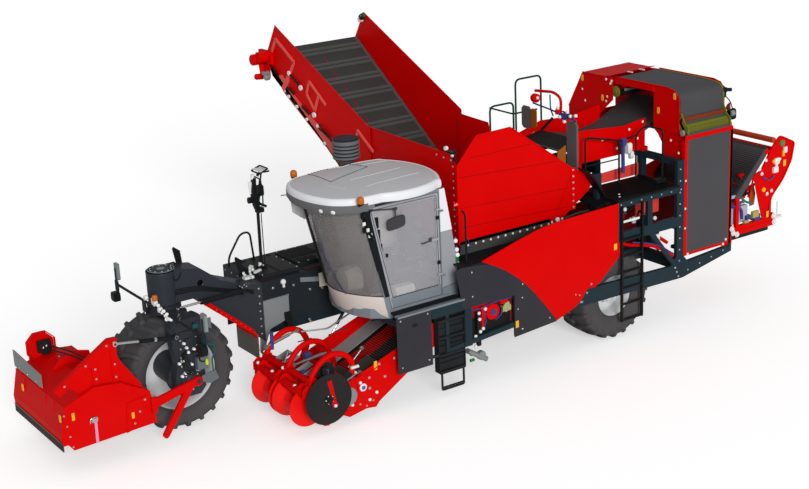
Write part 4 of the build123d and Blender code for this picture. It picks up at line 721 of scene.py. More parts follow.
# ---------------------------------------------------------------- camera mast
# Black double tube standing on the deck with a camera head, cables and a framed
# mirror on a ball joint at the top.
mast_parts = [tube([(-2040, -955, 2070), (-2050, -955, 3040), (-2080, -950, 3180)], 20, 60),
    tube([(-2060, -880, 2080), (-2064, -886, 3000)], 8, 40), box(-2080, -1930, -960, -840, 2066, 2090),
    box(-2110, -1990, -960, -850, 3020, 3100), strip(0.085, 0.11,
        [(-1985, -905, 3620), (-1955, -905, 3400), (-1990, -900, 3150), (-2010, -900, 3000)],
        (0, 1, 0), sizes=[0.7, 1, 1, 0.35]), tube([(-2000, -900, 3640), (-2100, -900, 3580),
        (-2130, -900, 3400), (-2120, -900, 3120)], 12, 60),
    box(-1960, -1860, -960, -880, 3200, 3300, 0.3), tube([(-2050, -900, 3640), (-2080, -890, 3690)],
        24, 20), bar((-1880, -940, 3265), (-2160, -860, 3105), 44, 44, cut=0.4)]
piece("mast_head", mast_parts, black)
frame_line = at([(-2010, -1010, 3716), (-2170, -1010, 3776), (-2170, -730, 3776), (-2010, -730, 3716)])
piece("mast_mirror_frame", [carry(circle(0.014, 10), rounded(np.vstack([frame_line, frame_line[:2]]),
        0.03), (0.3, 0.05, 1)), tube([(-2080, -890, 3660), (-2090, -880, 3735)], 16, 20)], black)
# The mirror's face is given the white fittings' paint: a painted reflection of the white surroundings.
piece("mast_mirror", [slab([(-2168, -1008), (-2168, -732), (-2012, -732), (-2012, -1008)], "z", 3744,
        3752)], white_plastic)
piece("mast_cap", [sweep_round([(0, 0), (30, 0), (30, 80), (0, 84)], (-1965, -905, 3600), (0, 0, 1),
        16), bar((-1905, -905, 3560), (-1925, -905, 3360), 20, 60),
        sweep_round([(0, -30), (30, -20), (30, 20), (0, 30)], (-1985, -905, 2130), (0, 0, 1), 16)],
    white_plastic)

# ---------------------------------------------------------------- digging unit
# Red welded digger: tube hoops over the depth rollers with silver turnbuckles,
# side plates, a black coulter disc on its arm, shares and the rod webs behind.
coat("digger_frame", red)
roller_red = finish("roller_paint", (236, 14, 10), rough=0.30, vary=0.04, dirt=0.04, coat=0.3)
coat("depth_roller_left", roller_red)
coat("depth_roller_right", roller_red)
coat("coulter_disc", finish("disc_steel", (14, 13, 17), rough=0.30, metal=0.3, vary=0.15))
HOOP_Y = (65, 760, 1455)
hoop_bits = []
for y in HOOP_Y:
    hoop_bits += [tube([(-1400, y, 660), (-1440, y, 955), (-1640, y, 1195), (-1900, y, 1278),
            (-2140, y, 1178), (-2250, y, 970), (-2160, y, 740)], 47, 170, 16),
        slab([(-1370, 610), (-1350, 850), (-1440, 980), (-1530, 960), (-1600, 760), (-1560, 610)], "y",
            y - 40, y - 28), slab([(-1370, 610), (-1350, 850), (-1440, 980), (-1530, 960),
            (-1600, 760), (-1560, 610)], "y", y + 28, y + 40),
        box(-2290, -2160, y - 60, y + 60, 700, 780, 0.2)]
hoop_bits += [bar((-1300, 60, 760), (-1300, 1460, 760), 110, 130, cut=0.15),
    bar((-1440, 60, 905), (-1440, 1460, 905), 90, 90, cut=0.15),
    bar((-1330, 20, 700), (-1330, 170, 700), 190, 230, cut=0.15),
    bar((-2120, 40, 700), (-2120, 1480, 700), 80, 110, cut=0.15)]
for y in HOOP_Y:
    hoop_bits += [slab([(-1240, 700), (-1240, 830), (-1330, 900), (-1430, 860), (-1430, 700)], "y",
            y - 90, y - 74), slab([(-1240, 700), (-1240, 830), (-1330, 900), (-1430, 860),
            (-1430, 700)], "y", y + 74, y + 90)]
hoop_bits += [bar((-1700, 1590, 905), (-1775, 1600, 440), 92, 46, up=(0, 1, 0), cut=0.3),
    slab([(-1730, 500), (-1690, 560), (-1740, 600), (-1830, 480), (-1780, 430)], "y", 1570, 1625),
    slab([(-1960, 560), (-1930, 700), (-2100, 760), (-2330, 690), (-2360, 520), (-2200, 480)], "y",
        1500, 1516), slab([(-2260, 640), (-2200, 760), (-2350, 800), (-2470, 700), (-2480, 560),
        (-2330, 470), (-2240, 520)], "y", 1516, 1530)]
piece("digger_hoops", hoop_bits, red, "digging_unit", 50)
links = []
for y, top, foot in ((35, (-2030, 1215), (-1440, 1080)), (700, (-2260, 1000), (-1560, 940)),
        (1365, (-2380, 800), (-1700, 800))):
    a, b = np.array([top[0], y + 60, top[1]]), np.array([foot[0], y + 60, foot[1]])
    way = unit(b - a)
    links += [rod(a, b, 0.016, 12, (0, 1, 0)), rod(a + way * 150, b - way * 150, 0.027, 12, (0, 1, 0)),
        knob(a, 22, 34, 22, 38, (0, 1, 0), 16), knob(b, 22, 34, 22, 38, (0, 1, 0), 16)]
links += [tube([(-2640, 1100, 1040), (-2360, 1100, 790)], 13),
    knob((-2640, 1100, 1050), 24, 32, 18, 38, (0, 1, 0), 18),
    tube([(-2950, 300, 1350), (-2480, 330, 1200), (-2050, 200, 1220)], 14, 60)]
piece("digger_turnbuckles", links, steel, "digging_unit", 50)
blades = [slab([(-1600, 880), (-1460, 960), (-1700, 1040), (-1800, 960)], "y", y, y + 8)
    for y in (330, 560, 980, 1220)]
blades += [sweep_round([(0, -5), (60, -7), (150, -3), (152, 3), (60, 7), (0, 5)], (-2080, 1540, 500),
        (0, 1, 0), 40), sweep_round([(0, -5), (60, -7), (140, -3), (142, 3), (60, 7), (0, 5)],
        (-2050, 1060, 420), (0, 1, 0), 40)]
blades += [slab([(-1640, 100), (-1590, 118), (-1900, 270), (-2030, 320), (-2040, 300)], "y", y, y + 190)
    for y in (150, 420, 830, 1100)]
blades += [bar((-2230, 1545, 860), (-1960, 1545, 760), 30, 14, cut=0.3),
    bar((-1560, 600, 1130), (-1470, 620, 960), 24, 12, cut=0.3)]
piece("digger_blades", blades, grey_sheet, "digging_unit")
dark = [slab([(-1560, 900), (-1560, 1130), (-1700, 1180), (-1870, 1120), (-1900, 900), (-1820, 760),
        (-1640, 780)], "y", 1448, 1458), carry(oblong(0.014, 0.014),
        rounded(at([(-1680, 1600, 1080), (-1680, 1600, 950), (-1800, 1600, 950), (-1800, 1600, 1080)]),
        0.02), (0, 1, 0)), box(-1740, -1620, 1530, 1560, 900, 1120, 0.1),
    bar((-1640, 1560, 1110), (-1640, 1560, 740), 60, 60, cut=0.3),
    slab([(-2000, 430), (-1960, 800), (-2100, 930), (-2350, 760), (-2420, 430), (-2200, 330)], "y",
        1486, 1499)]
dark += [box(-2050, -1990, y - 200, y + 200, 560, 620, 0.2) for y in (430, 1090)]
piece("digger_dark_brackets", dark, black, "digging_unit")
hub = [sweep_round([(0, 20), (64, 20), (64, 34), (40, 38), (40, 52), (0, 56)], (-1670, 1610, 600),
        (0, 1, 0), 28)]
piece("coulter_hub", hub, black, "coulter_disc")
ring = [(-1670 + 62 * math.cos(a), 1630, 600 + 62 * math.sin(a)) for a in np.arange(5) * math.tau / 5]
piece("coulter_bolts", [bolts_at(10, 12, ring, (0, 1, 0))], white_plastic, "coulter_disc")
whites = [sweep_round([(0, 0), (60, 0), (66, 8), (66, 20), (48, 26), (0, 28)], (-2350, 1530, 590),
        (0, 1, 0), 24), box(-2300, -2160, 1480, 1540, 940, 985, 0.3)]
whites += [knob(c, 20, 24, 14, 28, (0, 1, 0.2), 14) for c in ((-1770, 1630, 470), (-2280, 1440, 830),
        (-1560, 1500, 720), (-1420, 20, 905), (-1390, 700, 920), (-1500, 1380, 860), (-1270, 95, 850),
        (-1500, 700, 1000), (-2620, 1510, 420), (-2480, 1510, 330), (-2150, 1510, 330),
        (-2290, 1560, 690), (-1280, 1240, 820), (-1290, 520, 830))]
piece("digger_white_fittings", whites, white_plastic, "digging_unit", 50)
piece("digger_bearing_face", [sweep_round([(0, 28), (34, 28), (34, 32), (0, 33)], (-2350, 1530, 590),
        (0, 1, 0), 20)], finish("bearing_blue", (92, 92, 160), rough=0.4),
    "digging_unit")
blue = finish("blue_fittings", (58, 66, 128), rough=0.4, vary=0.08)
piece("digger_blue_parts", [rod((-1560, 95, 1310), (-1550, 95, 1010), 0.030, 16, (0, 1, 0)),
        rod((-1700, 1570, 1090), (-1690, 1570, 820), 0.02, 12, (0, 1, 0)),
        box(-1900, -1800, 640, 740, 960, 1060, 0.3), box(-1580, -1500, 1060, 1130, 880, 960, 0.3)],
    blue, "digging_unit")
side_bolts = [(-2700, 1501, 880), (-3000, 1501, 900), (-2500, 1501, 700), (-2500, 1501, 520),
    (-2800, 1501, 640), (-2300, 1501, 300), (-2420, 1501, 240), (-3300, 1501, 980),
    (-3600, 1501, 1060), (-2550, 1501, 300)]
piece("digger_side_bolts", [bolts_at(18, 14, side_bolts, (0, 1, 0)),
        bolt_row(12, 10, (-1500, 770, 1180), (-1500, 770, 1181), 1, (0, 1, 0))], zinc,
    "digging_unit")
piece("digger_sticker", [sheet(-2600, -2660, 800, 950, "y", 1500.5, 1502)], yellow,
    "digging_unit")
fins = [slab([(-2060, 240), (-1960, 380), (-2200, 470), (-2680, 270), (-2600, 170)], "y", 1500, 1512),
    bar((-1960, 1506, 560), (-3900, 1506, 1342), 16, 12, up=(0, 1, 0))]
piece("digger_side_folds", fins, red, "digging_unit")


def rod_web(start, end, y0, y1, pitch, radius, lift=0.0):
    """Row of round rods square to a sloping line, in millimetres: rod k lies at
    start + k * pitch along it."""
    a, b = np.array([start[0], 0, start[1] + lift]), np.array([end[0], 0, end[1] + lift])
    count = int(np.linalg.norm(b - a) / pitch)
    rods = []
    for k in range(count):
        c = a + (b - a) * k / count
        rods.append(rod((c[0], y0, c[2]), (c[0], y1, c[2]), radius / 1000, 8, (0, 0, 1)))
    return rods


web_steel = finish("web_rods", (92, 92, 92), rough=0.45, metal=0.5, vary=0.2)
# The digger web's own sheet is painted near black under the rods: painted shade for the gaps between them.
web_gap_shade = finish("web_gap_painted_shade", (30, 30, 31), rough=0.7)
coat("digger_web", web_gap_shade)
piece("web_rods_grey", rod_web((-2080, 345), (-4080, 1215), 1120, 1440, 42, 9, 12)
    + rod_web((-2080, 345), (-4080, 1215), 800, 1105, 42, 9, 12), web_steel,
    "digging_unit")
piece("web_rods_red", rod_web((-2560, 554), (-4080, 1215), 470, 800, 42, 10, 16), roller_red,
    "digging_unit")
piece("web_grey_band", [slab([(-2500, 575), (-4000, 1228), (-4000, 1240), (-2500, 587)], "y", 60, 400)],
    finish("band_sheet", (146, 150, 152), rough=0.45, vary=0.12), "digging_unit")
piece("web_olive_sheet", [slab([(-2120, 420), (-2520, 594), (-2520, 604), (-2120, 430)], "y", 500,
        1380), slab([(-2520, 600), (-2900, 765), (-2900, 776), (-2520, 611)], "y", 830, 1110)],
    finish("olive_sheet", (70, 70, 66), rough=0.5, vary=0.1), "digging_unit")
piece("web_red_triangle", [slab([(-2260, 480), (-2520, 800), (-2560, 590), (-2480, 560)], "y", 420,
        436), slab([(-2500, 584), (-4000, 1232), (-4000, 1300), (-2500, 660)], "y", 36, 56)], red,
    "digging_unit")
piece("digger_cylinder_caps", [knob((-2750, -30, 880), 30, 36, 30, 40, (0, 1, 0), 20)], steel,
    "digging_unit")

# ---------------------------------------------------------------- cab
# Moulded pale roof with its top painted a darker grey as shade, on a steel shell with a bowed windscreen,
# black front pillars, a glazed door with rubber seals, mirrors, beacons and a trimmed interior.
# The roof's top skin and its ribs take a darker grey than the rim: painted shade for the top, which faces
# away from the lamp.
roof_shaded_grey = finish("roof_top_painted_shade", (196, 196, 199), rough=0.42, vary=0.04, dirt=0.03, coat=0.15)
rim_white = finish("roof_rim_light", (226, 227, 231), rough=0.34, vary=0.03, dirt=0.02, coat=0.3)
visor_grey = finish("visor_grey", (104, 105, 106), rough=0.46, vary=0.05)
door_grey = finish("door_frame_grey", (158, 160, 166), rough=0.38, vary=0.05)
sill_blue = finish("sill_paint", (122, 129, 136), rough=0.40, vary=0.06, dirt=0.05)
beige = finish("fascia_beige", (214, 203, 198), rough=0.36, vary=0.04, dirt=0.05, coat=0.2)
seal = finish("seal_rubber", (34, 35, 38), rough=0.6)
line = rounded(np.array([(-3400, -415), (-4110, -410), (-4165, -380), (-4165, 1360), (-4110, 1390),
        (-2900, 1440), (-2640, 1430), (-2420, 1380), (-2180, 1170), (-2060, 850), (-2015, 500),
        (-2045, 150), (-2160, -150), (-2400, -370), (-2700, -420), (-3400, -415)], float), 60, 5)
heart = np.array([-3085.0, 505.0])
spokes = line[:-1] - heart
bearing = np.arctan2(spokes[:, 1], spokes[:, 0])
order = np.argsort(bearing)
outline = np.interp(np.linspace(-np.pi, np.pi, 145)[:-1], bearing[order], np.hypot(*spokes[order].T),
    period=2 * np.pi)
compass = np.linspace(-np.pi, np.pi, 145)[:-1]


def roof_ring(share, z):
    """Roof outline drawn in to a share of its size at one height, from the middle outwards."""
    reach = outline * share
    return np.stack([heart[0] + reach * np.cos(compass), heart[1] + reach * np.sin(compass),
            np.full(144, z)], -1)


def roof_height(share):
    """Height of the roof's skin over a share of the way out from its middle to its rim."""
    return 3640 + 58 * (1 - share ** 2.6)


def on_roof(points, lift=3.0):
    """Points (x, y) in millimetres laid on the roof's skin."""
    p = np.asarray(points, float) - heart
    share = np.hypot(*p.T) / np.interp(np.arctan2(p[:, 1], p[:, 0]), compass, outline, period=2 * np.pi)
    return np.c_[p + heart, roof_height(np.minimum(share, 1)) + lift]


shares = np.r_[0.965, 0.93, 0.88, 0.8, 0.68, 0.54, 0.38, 0.2, 0.0]
top = [roof_ring(0.965, roof_height(0.965) - 14)] + [roof_ring(s, roof_height(s)) for s in shares]
made = piece("roof_skin", [skin(at(np.array(top)))], roof_shaded_grey, sharp=50)
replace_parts(made, "cab_roof")
rim = [roof_ring(s, z) for s, z in ((0.90, 3496), (0.975, 3500), (1.0, 3514), (1.008, 3545),
        (1.006, 3595), (0.998, 3628), (0.982, 3645), (0.962, 3652), (0.94, 3636), (0.90, 3496))]
piece("roof_rim", [skin(at(np.array(rim)))], rim_white, sharp=40)
front = np.abs(compass) < 1.22
visor = np.stack([roof_ring(s, z)[front] for s, z in ((0.93, 3400), (0.985, 3408), (1.004, 3446),
        (1.012, 3518), (1.013, 3548), (0.99, 3550), (0.93, 3518))], 1)
caps = np.repeat(visor.mean(1, keepdims=True), 7, 1)
piece("roof_visor", [skin(at(np.concatenate([caps[:1], visor, caps[-1:]])))], visor_grey,
    sharp=45)
dashes = []
corners = np.array([(-2710, -380), (-3540, -480), (-3600, 60), (-2650, 430), (-2710, -380)], float)
for a, b in zip(corners[:-1], corners[1:]):
    count = int(np.hypot(*(b - a)) / 62)
    for k in range(count):
        dashes.append(strip(0.012, 0.006, on_roof([a + (b - a) * k / count,
                a + (b - a) * (k + 0.62) / count]), (0, 0, 1)))
piece("roof_hatch_seal", dashes, seal)
grooves = []
for pts in ([(-2930, 560), (-3500, 520), (-3990, 430)], [(-3580, -150), (-3900, -150), (-4110, -165)],
        [(-2950, 1010), (-3500, 960), (-4040, 880)], [(-2620, 900), (-2500, 500), (-2560, 60)]):
    fine_line = np.array([np.interp(np.linspace(0, 2, 15), [0, 1, 2], np.array(pts, float)[:, k])
            for k in (0, 1)]).T
    grooves.append(strip(0.03, 0.012, on_roof(fine_line, 1), (0, 0, 1), cut=0.4))
piece("roof_ribs", grooves, roof_shaded_grey, sharp=60)
amber = finish("beacon_amber", (184, 98, 22), rough=0.22, vary=0.04, coat=0.6)
dome = [(0, 112), (30, 108), (52, 88), (58, 60), (58, 18), (50, 6), (50, 0), (0, 0)]
spots = ((-2520, 1500, 3590), (-2570, -600, 3590))
piece("beacons", [sweep_round(dome, c, (0, 0, 1), 28) for c in spots], amber, sharp=40)
arms = [sweep_round([(0, -20), (50, -20), (54, 0), (0, 2)], c, (0, 0, 1), 24) for c in spots]
arms += [tube([(-2520, 1500, 3575), (-2520, 1470, 3540), (-2560, 1340, 3520)], 13, 20),
    tube([(-2570, -600, 3575), (-2570, -540, 3530), (-2600, -330, 3520)], 13, 20)]
piece("beacon_arms", arms, black)
lens = []
for angle in (0.46, 0.66, -0.62):
    reach = float(np.interp(angle, compass, outline)) * 1.006
    c = heart + reach * np.array([math.cos(angle), math.sin(angle)])
    lens.append(sweep_round([(0, 10), (24, 8), (34, 2), (38, -8), (0, -10)], (c[0], c[1], 3440),
            (math.cos(angle), math.sin(angle), -0.5), 28))
piece("roof_lamps", lens, white_plastic)


def bow(z, out, y_reach=820.0, count=25):
    """Windscreen's bowed line at a height, set out by some millimetres:
    x = side + bulge (1 - u^2), y = 500 + reach u."""
    u = np.linspace(-1, 1, count)
    rise = (z - 1680) / 1800
    return np.stack([-3020 + 370 * rise + (380 + 100 * rise) * (1 - u ** 2) + out,
            500 + (y_reach + out) * u, np.full(count, z)], -1)


glass = bpy.data.materials.new("cab_glazing")
glass.use_nodes = True
g = glass.node_tree
pane = g.nodes["Principled BSDF"]
pane.inputs["Base Color"].default_value = (0.30, 0.285, 0.28, 1)
pane.inputs["Roughness"].default_value = 0.06
pane.inputs["Alpha"].default_value = 0.50
smear = g.nodes.new("ShaderNodeTexNoise")
place = g.nodes.new("ShaderNodeTexCoord")
smear.inputs["Scale"].default_value, smear.inputs["Detail"].default_value = 2.4, 4.0
g.links.new(place.outputs["Object"], smear.inputs["Vector"])
film = g.nodes.new("ShaderNodeMapRange")
film.inputs["To Min"].default_value, film.inputs["To Max"].default_value = 0.30, 0.44
g.links.new(smear.outputs["Fac"], film.inputs["Value"])
g.links.new(film.outputs[0], pane.inputs["Alpha"])
polish = g.nodes.new("ShaderNodeMapRange")
polish.inputs["To Min"].default_value, polish.inputs["To Max"].default_value = 0.04, 0.14
g.links.new(smear.outputs["Fac"], polish.inputs["Value"])
g.links.new(polish.outputs[0], pane.inputs["Roughness"])
ripple = g.nodes.new("ShaderNodeBump")
ripple.inputs["Strength"].default_value, ripple.inputs["Distance"].default_value = 0.4, 0.0008
g.links.new(smear.outputs["Fac"], ripple.inputs["Height"])
g.links.new(ripple.outputs[0], pane.inputs["Normal"])
# The door's pane is a paler copy of the cab glazing: painted light for the lit left side.
door_glass_lit_copy = glass.copy()
door_glass_lit_copy.name = "door_glazing_painted_light"
door_glass_lit_copy.node_tree.nodes["Map Range"].inputs["To Max"].default_value = 0.30
door_glass_lit_copy.node_tree.nodes["Principled BSDF"].inputs["Base Color"].default_value = (0.60, 0.60, 0.64,
    1)
coat("windscreen", glass)
coat("cab_glass", glass)
coat("door_glass", door_glass_lit_copy)
coat("cab_shell", sill_blue)
coat("cab_door", door_grey)
lower = np.stack([bow(z, out) for z, out in ((1905, -14), (1908, 14), (1890, 18), (1700, 16),
        (1600, 14), (1545, 8), (1512, -4), (1504, -60), (1506, -200), (1520, -230), (1700, -60),
        (1900, -24))], 1)
caps = np.repeat(lower.mean(1, keepdims=True), lower.shape[1], 1)
piece("bow_fascia", [skin(at(np.concatenate([caps[:1], lower, caps[-1:]])))], beige,
    sharp=40)
piece("windscreen_seal", [strip(0.012, 0.012, bow(1912, 12), (0, 0, 1)),
        strip(0.012, 0.02, bow(3380, 8), (0, 0, 1))], seal)
pillars = [slab([(-2985, 1900), (-3066, 1900), (-2752, 3440), (-2600, 3440)], "y", 1320, 1352),
    slab([(-2985, 1690), (-3075, 1690), (-2752, 3440), (-2610, 3440)], "y", -352, -336),
    tube([(-2700, 1385, 3385), (-2670, 1380, 3290), (-2720, 1375, 3060), (-2800, 1365, 2900)], 26, 60),
    box(-2740, -2600, 1350, 1420, 3300, 3430, 0.2), box(-2700, -2620, 1350, 1400, 3060, 3150, 0.3),
    bar((-2985, -356, 1700), (-2640, -356, 3430), 24, 60)]
post = []
for z, first in ((3400, 4), (2900, 4), (2400, 3), (1910, 2)):
    post.append(np.concatenate([bow(z, 36)[first:first + 6], bow(z, 9)[first:first + 6][::-1]]))
pillars.append(skin(at(np.array(post))))
piece("front_pillars", pillars, black, sharp=40)
screen = [strip(0.10, 0.17, [(-2830, 1210, 2660), (-2900, 1210, 2760), (-2905, 1210, 2980),
        (-2860, 1210, 3090)], (0, 1, 0), cut=0.4, sizes=[0.6, 1, 1, 0.8]),
    strip(0.12, 0.20, [(-2850, 1200, 3100), (-2880, 1200, 3240)], (0, 1, 0), cut=0.4),
    box(-3045, -3005, 1190, 1240, 2520, 2660, 0.3), tube([(-2820, 1200, 3250), (-2760, 1220, 3370)],
        16)]
screen += [box(-2940, -2800, 1290, 1328, 3060, 3250, 0.35),
    box(-2960, -2830, 1290, 1328, 2780, 3040, 0.3), box(-2990, -2900, 1290, 1328, 2560, 2800, 0.3)]
piece("cab_screens", screen, black)
piece("pillar_fittings", [box(-2780, -2720, 1353, 1380, 2960, 3030, 0.3),
        box(-2700, -2660, 1400, 1430, 3080, 3140, 0.3), box(-2640, -2590, 1400, 1425, 3190, 3250,
        0.4)], white_plastic)
u = np.linspace(0, math.tau, 25)[:-1]
shield = np.stack([np.sign(np.cos(u)) * np.abs(np.cos(u)) ** 0.45 * 175,
        np.sign(np.sin(u)) * np.abs(np.sin(u)) ** 0.45 * 100], -1)
housing = np.stack([np.stack([-3205 + k * shield[:, 0], np.full(24, y),
        3120 + k * shield[:, 1] - 0.10 * k * shield[:, 0]], -1) for k,
        y in ((0, 1398), (0.9, 1400), (1, 1410), (1, 1432), (0.92, 1446), (0, 1450))])
hung = [skin(at(housing)), tube([(-2800, 1352, 3392), (-2860, 1420, 3400), (-3200, 1425, 3352)], 12,
        30), tube([(-3195, 1425, 3350), (-3200, 1425, 3215)], 12),
    box(-3230, -3160, 1408, 1440, 3330, 3375, 0.3), box(-2830, -2780, 1336, 1365, 3370, 3410, 0.2)]
piece("left_mirror", hung, finish("mirror_back", (62, 61, 64), rough=0.4), "cab_door", 40)
grip = [tube([(-3740, 1336, 2640), (-3740, 1372, 2640), (-3910, 1372, 2668), (-3910, 1336, 2668)], 13,
        16), box(-3945, -3890, 1336, 1346, 2630, 2700, 0.3)]
piece("door_grip", grip, finish("grip_grey", (74, 75, 78), rough=0.45), "cab_door")
edge = [(-3135, 1337, 1860), (-2796, 1337, 3382), (-4052, 1337, 3382), (-4052, 1337, 1860)]
piece("door_seals", [strip(0.006, 0.014, rounded(np.array(edge + edge[:2]), 30), (0, 1, 0)),
        bar((-4085, 1336, 1700), (-4085, 1336, 3415), 6, 8)], seal, "cab_door")
piece("door_sill_skin", [slab([(-3098, 1856), (-4084, 1856), (-4084, 1694), (-3132, 1694)], "y", 1335.5,
        1341)], sill_blue, "cab_door")
piece("door_hinge_knobs", [box(-4080, -4030, 1337, 1368, z - 30, z + 30, 0.3) for z in (2250, 3010)]
    + [box(-3075, -3040, 1337, 1356, 2560, 2620, 0.3)], black, "cab_door")
rear = [slab([(-4112, 3474), (-4205, 3474), (-4330, 2755), (-4112, 2755)], "y", 1339, 1350),
    slab([(-4205, 3474), (-4212, 3474), (-4337, 2755), (-4330, 2755)], "y", 1180, 1350)]
piece("rear_corner_upper", rear, rim_white)
piece("rear_corner_lower", [slab([(-4112, 2748), (-4332, 2748), (-4478, 1850), (-4112, 1800)], "y",
        1339, 1348)], finish("corner_grey", (150, 152, 158), rough=0.4))
piece("cab_sill", [slab([(-3120, 1672), (-4505, 1672), (-4505, 1530), (-3150, 1530)], "y", 1351, 1360),
        slab([(-4112, 1794), (-4505, 1836), (-4505, 1676), (-4112, 1676)], "y", 1351, 1358),
        slab([(-3062, 1672), (-3120, 1672), (-3150, 1530), (-3062, 1530)], "y", 1351, 1356)],
    sill_blue)
piece("cab_seams", [bar((-4100, 1361, 1534), (-4100, 1361, 1670), 5, 8),
        bar((-3130, 1361, 1590), (-4500, 1361, 1625), 5, 5),
        bar((-4106, 1352, 1850), (-4106, 1352, 3470), 5, 8),
        bar((-2880, 1352, 3452), (-3920, 1352, 3470), 16, 26),
        bar((-3600, 1354, 3440), (-3930, 1354, 3470), 10, 20)], seal)
panel = [slab([(-2350, 3340), (-2380, 3060), (-2590, 2900), (-2720, 2960), (-2640, 3340)], "y", -392,
        -372), tube([(-2500, -380, 3330), (-2560, -350, 3440)], 14)]
piece("right_mirror_back", panel, rim_white)
piece("right_mirror_mount", [box(-2560, -2450, -372, -330, 3270, 3360, 0.3),
        sweep_round([(0, 0), (40, 0), (40, 60), (0, 66)], (-2450, -400, 3260), (1, 0, 0), 18),
        tube([(-2400, -380, 3330), (-2300, -420, 3370), (-2230, -470, 3360)], 8, 30)], black)
wiper = np.array([bow(z, 26)[j] for z, j in ((1960, 15), (2150, 14), (2400, 13), (2650, 12),
        (2760, 12))])
piece("windscreen_wiper", [strip(0.014, 0.02, wiper, (0, 1, 0)),
        tube([tuple(bow(1900, 30)[16]), tuple(bow(2060, 34)[15]), tuple(bow(2350, 32)[13])], 7, 40)],
    finish("wiper_blue_black", (66, 68, 96), rough=0.5))


def cushion(x0, x1, y0, y1, z0, z1, square=0.35, around=28, rings=13):
    """Stuffed pad filling a box in millimetres: a superellipsoid, each axis taking
    sign(s) |s|^square of a sphere's."""
    lat, lon = np.meshgrid(np.linspace(-np.pi / 2, np.pi / 2, rings),
        np.arange(around) * 2 * np.pi / around, indexing="ij")
    ball = np.stack([np.cos(lat) * np.cos(lon), np.cos(lat) * np.sin(lon), np.sin(lat)], -1)
    ball = np.sign(ball) * np.abs(ball) ** square
    centre, half = np.array([x0 + x1, y0 + y1, z0 + z1]) / 2, np.array([x1 - x0, y1 - y0, z1 - z0]) / 2
    return skin(at(centre + ball * half))


trim = finish("seat_fabric", (96, 92, 96), rough=0.85, vary=0.10, grain=0.10, scale=4)
pale = finish("interior_trim", (214, 208, 198), rough=0.6, vary=0.05)
seat = piece("operator_seat_pads", [cushion(-4050, -3560, 330, 870, 1990, 2130),
        cushion(-4150, -4010, 350, 850, 2120, 2620), cushion(-4180, -4080, 470, 730, 2640, 2820),
        cushion(-4020, -3680, 890, 960, 2240, 2310), cushion(-4020, -3680, 240, 310, 2240, 2310)],
    trim, sharp=60)
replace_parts(seat, "operator_seat")
under = [box(-3990, -3640, 420, 780, 1690, 1740), *[box(-3960, -3680, 440, 760, z, z + 34, 0.4)
        for z in range(1745, 1980, 44)], box(-3900, -3350, -60, 240, 1690, 2080, 0.1),
    box(-3880, -3400, -50, 230, 2080, 2200, 0.25), sweep_round([(0, 0), (22, 0), (16, 60), (26, 90),
        (30, 130), (0, 150)], (-3480, 90, 2200), (0, 0, 1), 18)]
piece("seat_base_console", under, finish("console_plastic", (84, 83, 88), rough=0.5),
    sharp=40)
wheel_line = [(-3345 + 60 * math.cos(a) * 0.9, 600 + 190 * math.sin(a), 2360 + 178 * math.cos(a) * 0.62)
    for a in np.arange(32) * math.tau / 32]
column = [carry(circle(0.014, 12), at(wheel_line), (0.6, 0, 0.8), loop=True),
    rod((-3180, 600, 1690), (-3300, 600, 2260), 0.042, 16, (0, 1, 0)),
    rod((-3300, 600, 2260), (-3335, 600, 2350), 0.03, 16, (0, 1, 0)),
    bar((-3335, 430, 2350), (-3335, 770, 2350), 30, 12),
    sweep_round([(0, -12), (50, -12), (50, 12), (0, 16)], (-3335, 600, 2352), (-0.5, 0, 1), 20),
    box(-3260, -3190, 350, 450, 1690, 1760, 0.2), box(-3260, -3190, 700, 800, 1690, 1760, 0.2)]
piece("steering_wheel", column, black, sharp=45)
inside = [box(-4120, -2760, -326, -300, 1690, 1930), slab([(-4110, 1940), (-4430, 1900), (-4200, 3400),
        (-3700, 3400), (-3720, 2500)], "y", -300, -288),
    box(-4160, -2560, -250, 1270, 3400, 3430, 0.02), bar((-4420, -200, 1900), (-4420, 1250, 1900), 30,
        380), box(-3250, -2900, 900, 1180, 1690, 1830, 0.2),
    bar((-4350, 480, 2360), (-4350, 1280, 2360), 30, 60), box(-3150, -2850, 100, 450, 1690, 2120, 0.3),
    box(-3620, -3250, 1040, 1270, 1700, 1960, 0.2)]
piece("cab_lining", inside, pale, sharp=40)

# ---------------------------------------------------------------- left side panels, walkway and steps
# Bolted side sheets: a slate guard and a red cover meet on a sweeping seam; behind
# the notch a drive drum and its valve, above it the ribbed walkway and the steps.
coat("left_panel", finish("slate_panel", (46, 46, 53), rough=0.40, vary=0.06, dirt=0.08, coat=0.1))
coat("side_covers", red)
step_paint = finish("step_paint", (24, 30, 35), rough=0.46, vary=0.14)
coat("walkway", step_paint)
coat("access_steps", step_paint)
seam_line = rounded([(-4700, 2185), (-5120, 1975), (-5560, 1640), (-5850, 1320), (-6130, 960),
        (-6285, 765)], 230, 7)
arch = rounded([(-6285, 765), (-6770, 930), (-6930, 1120), (-7090, 1310), (-7360, 1450), (-7690, 1570)],
    150, 6)
crown = rounded([(-7700, 2560), (-6640, 2530), (-6080, 2510), (-5480, 2385), (-4700, 2185)], 240, 7)
piece("red_cover_face", [slab(np.vstack([seam_line[:-1], arch, crown[:-1]]), "y", 1651, 1655),
        strip(0.016, 0.012, np.insert(crown, 1, 1644, axis=1), (0, 0, 1)),
        slab([(-6640, 2520), (-7690, 2555), (-7690, 2350), (-6640, 2350)], "y", 1628, 1650)], red)
faces = [(-4490, 1651, 2050), (-4490, 1651, 1630), (-5540, 1655, 1600), (-5530, 1651, 1360),
    (-5520, 1651, 800), (-6120, 1651, 850), (-3050, 1651, 1560), (-3050, 1651, 760),
    (-3580, 1651, 1560), (-3580, 1651, 760), (-5430, 1651, 1180)]
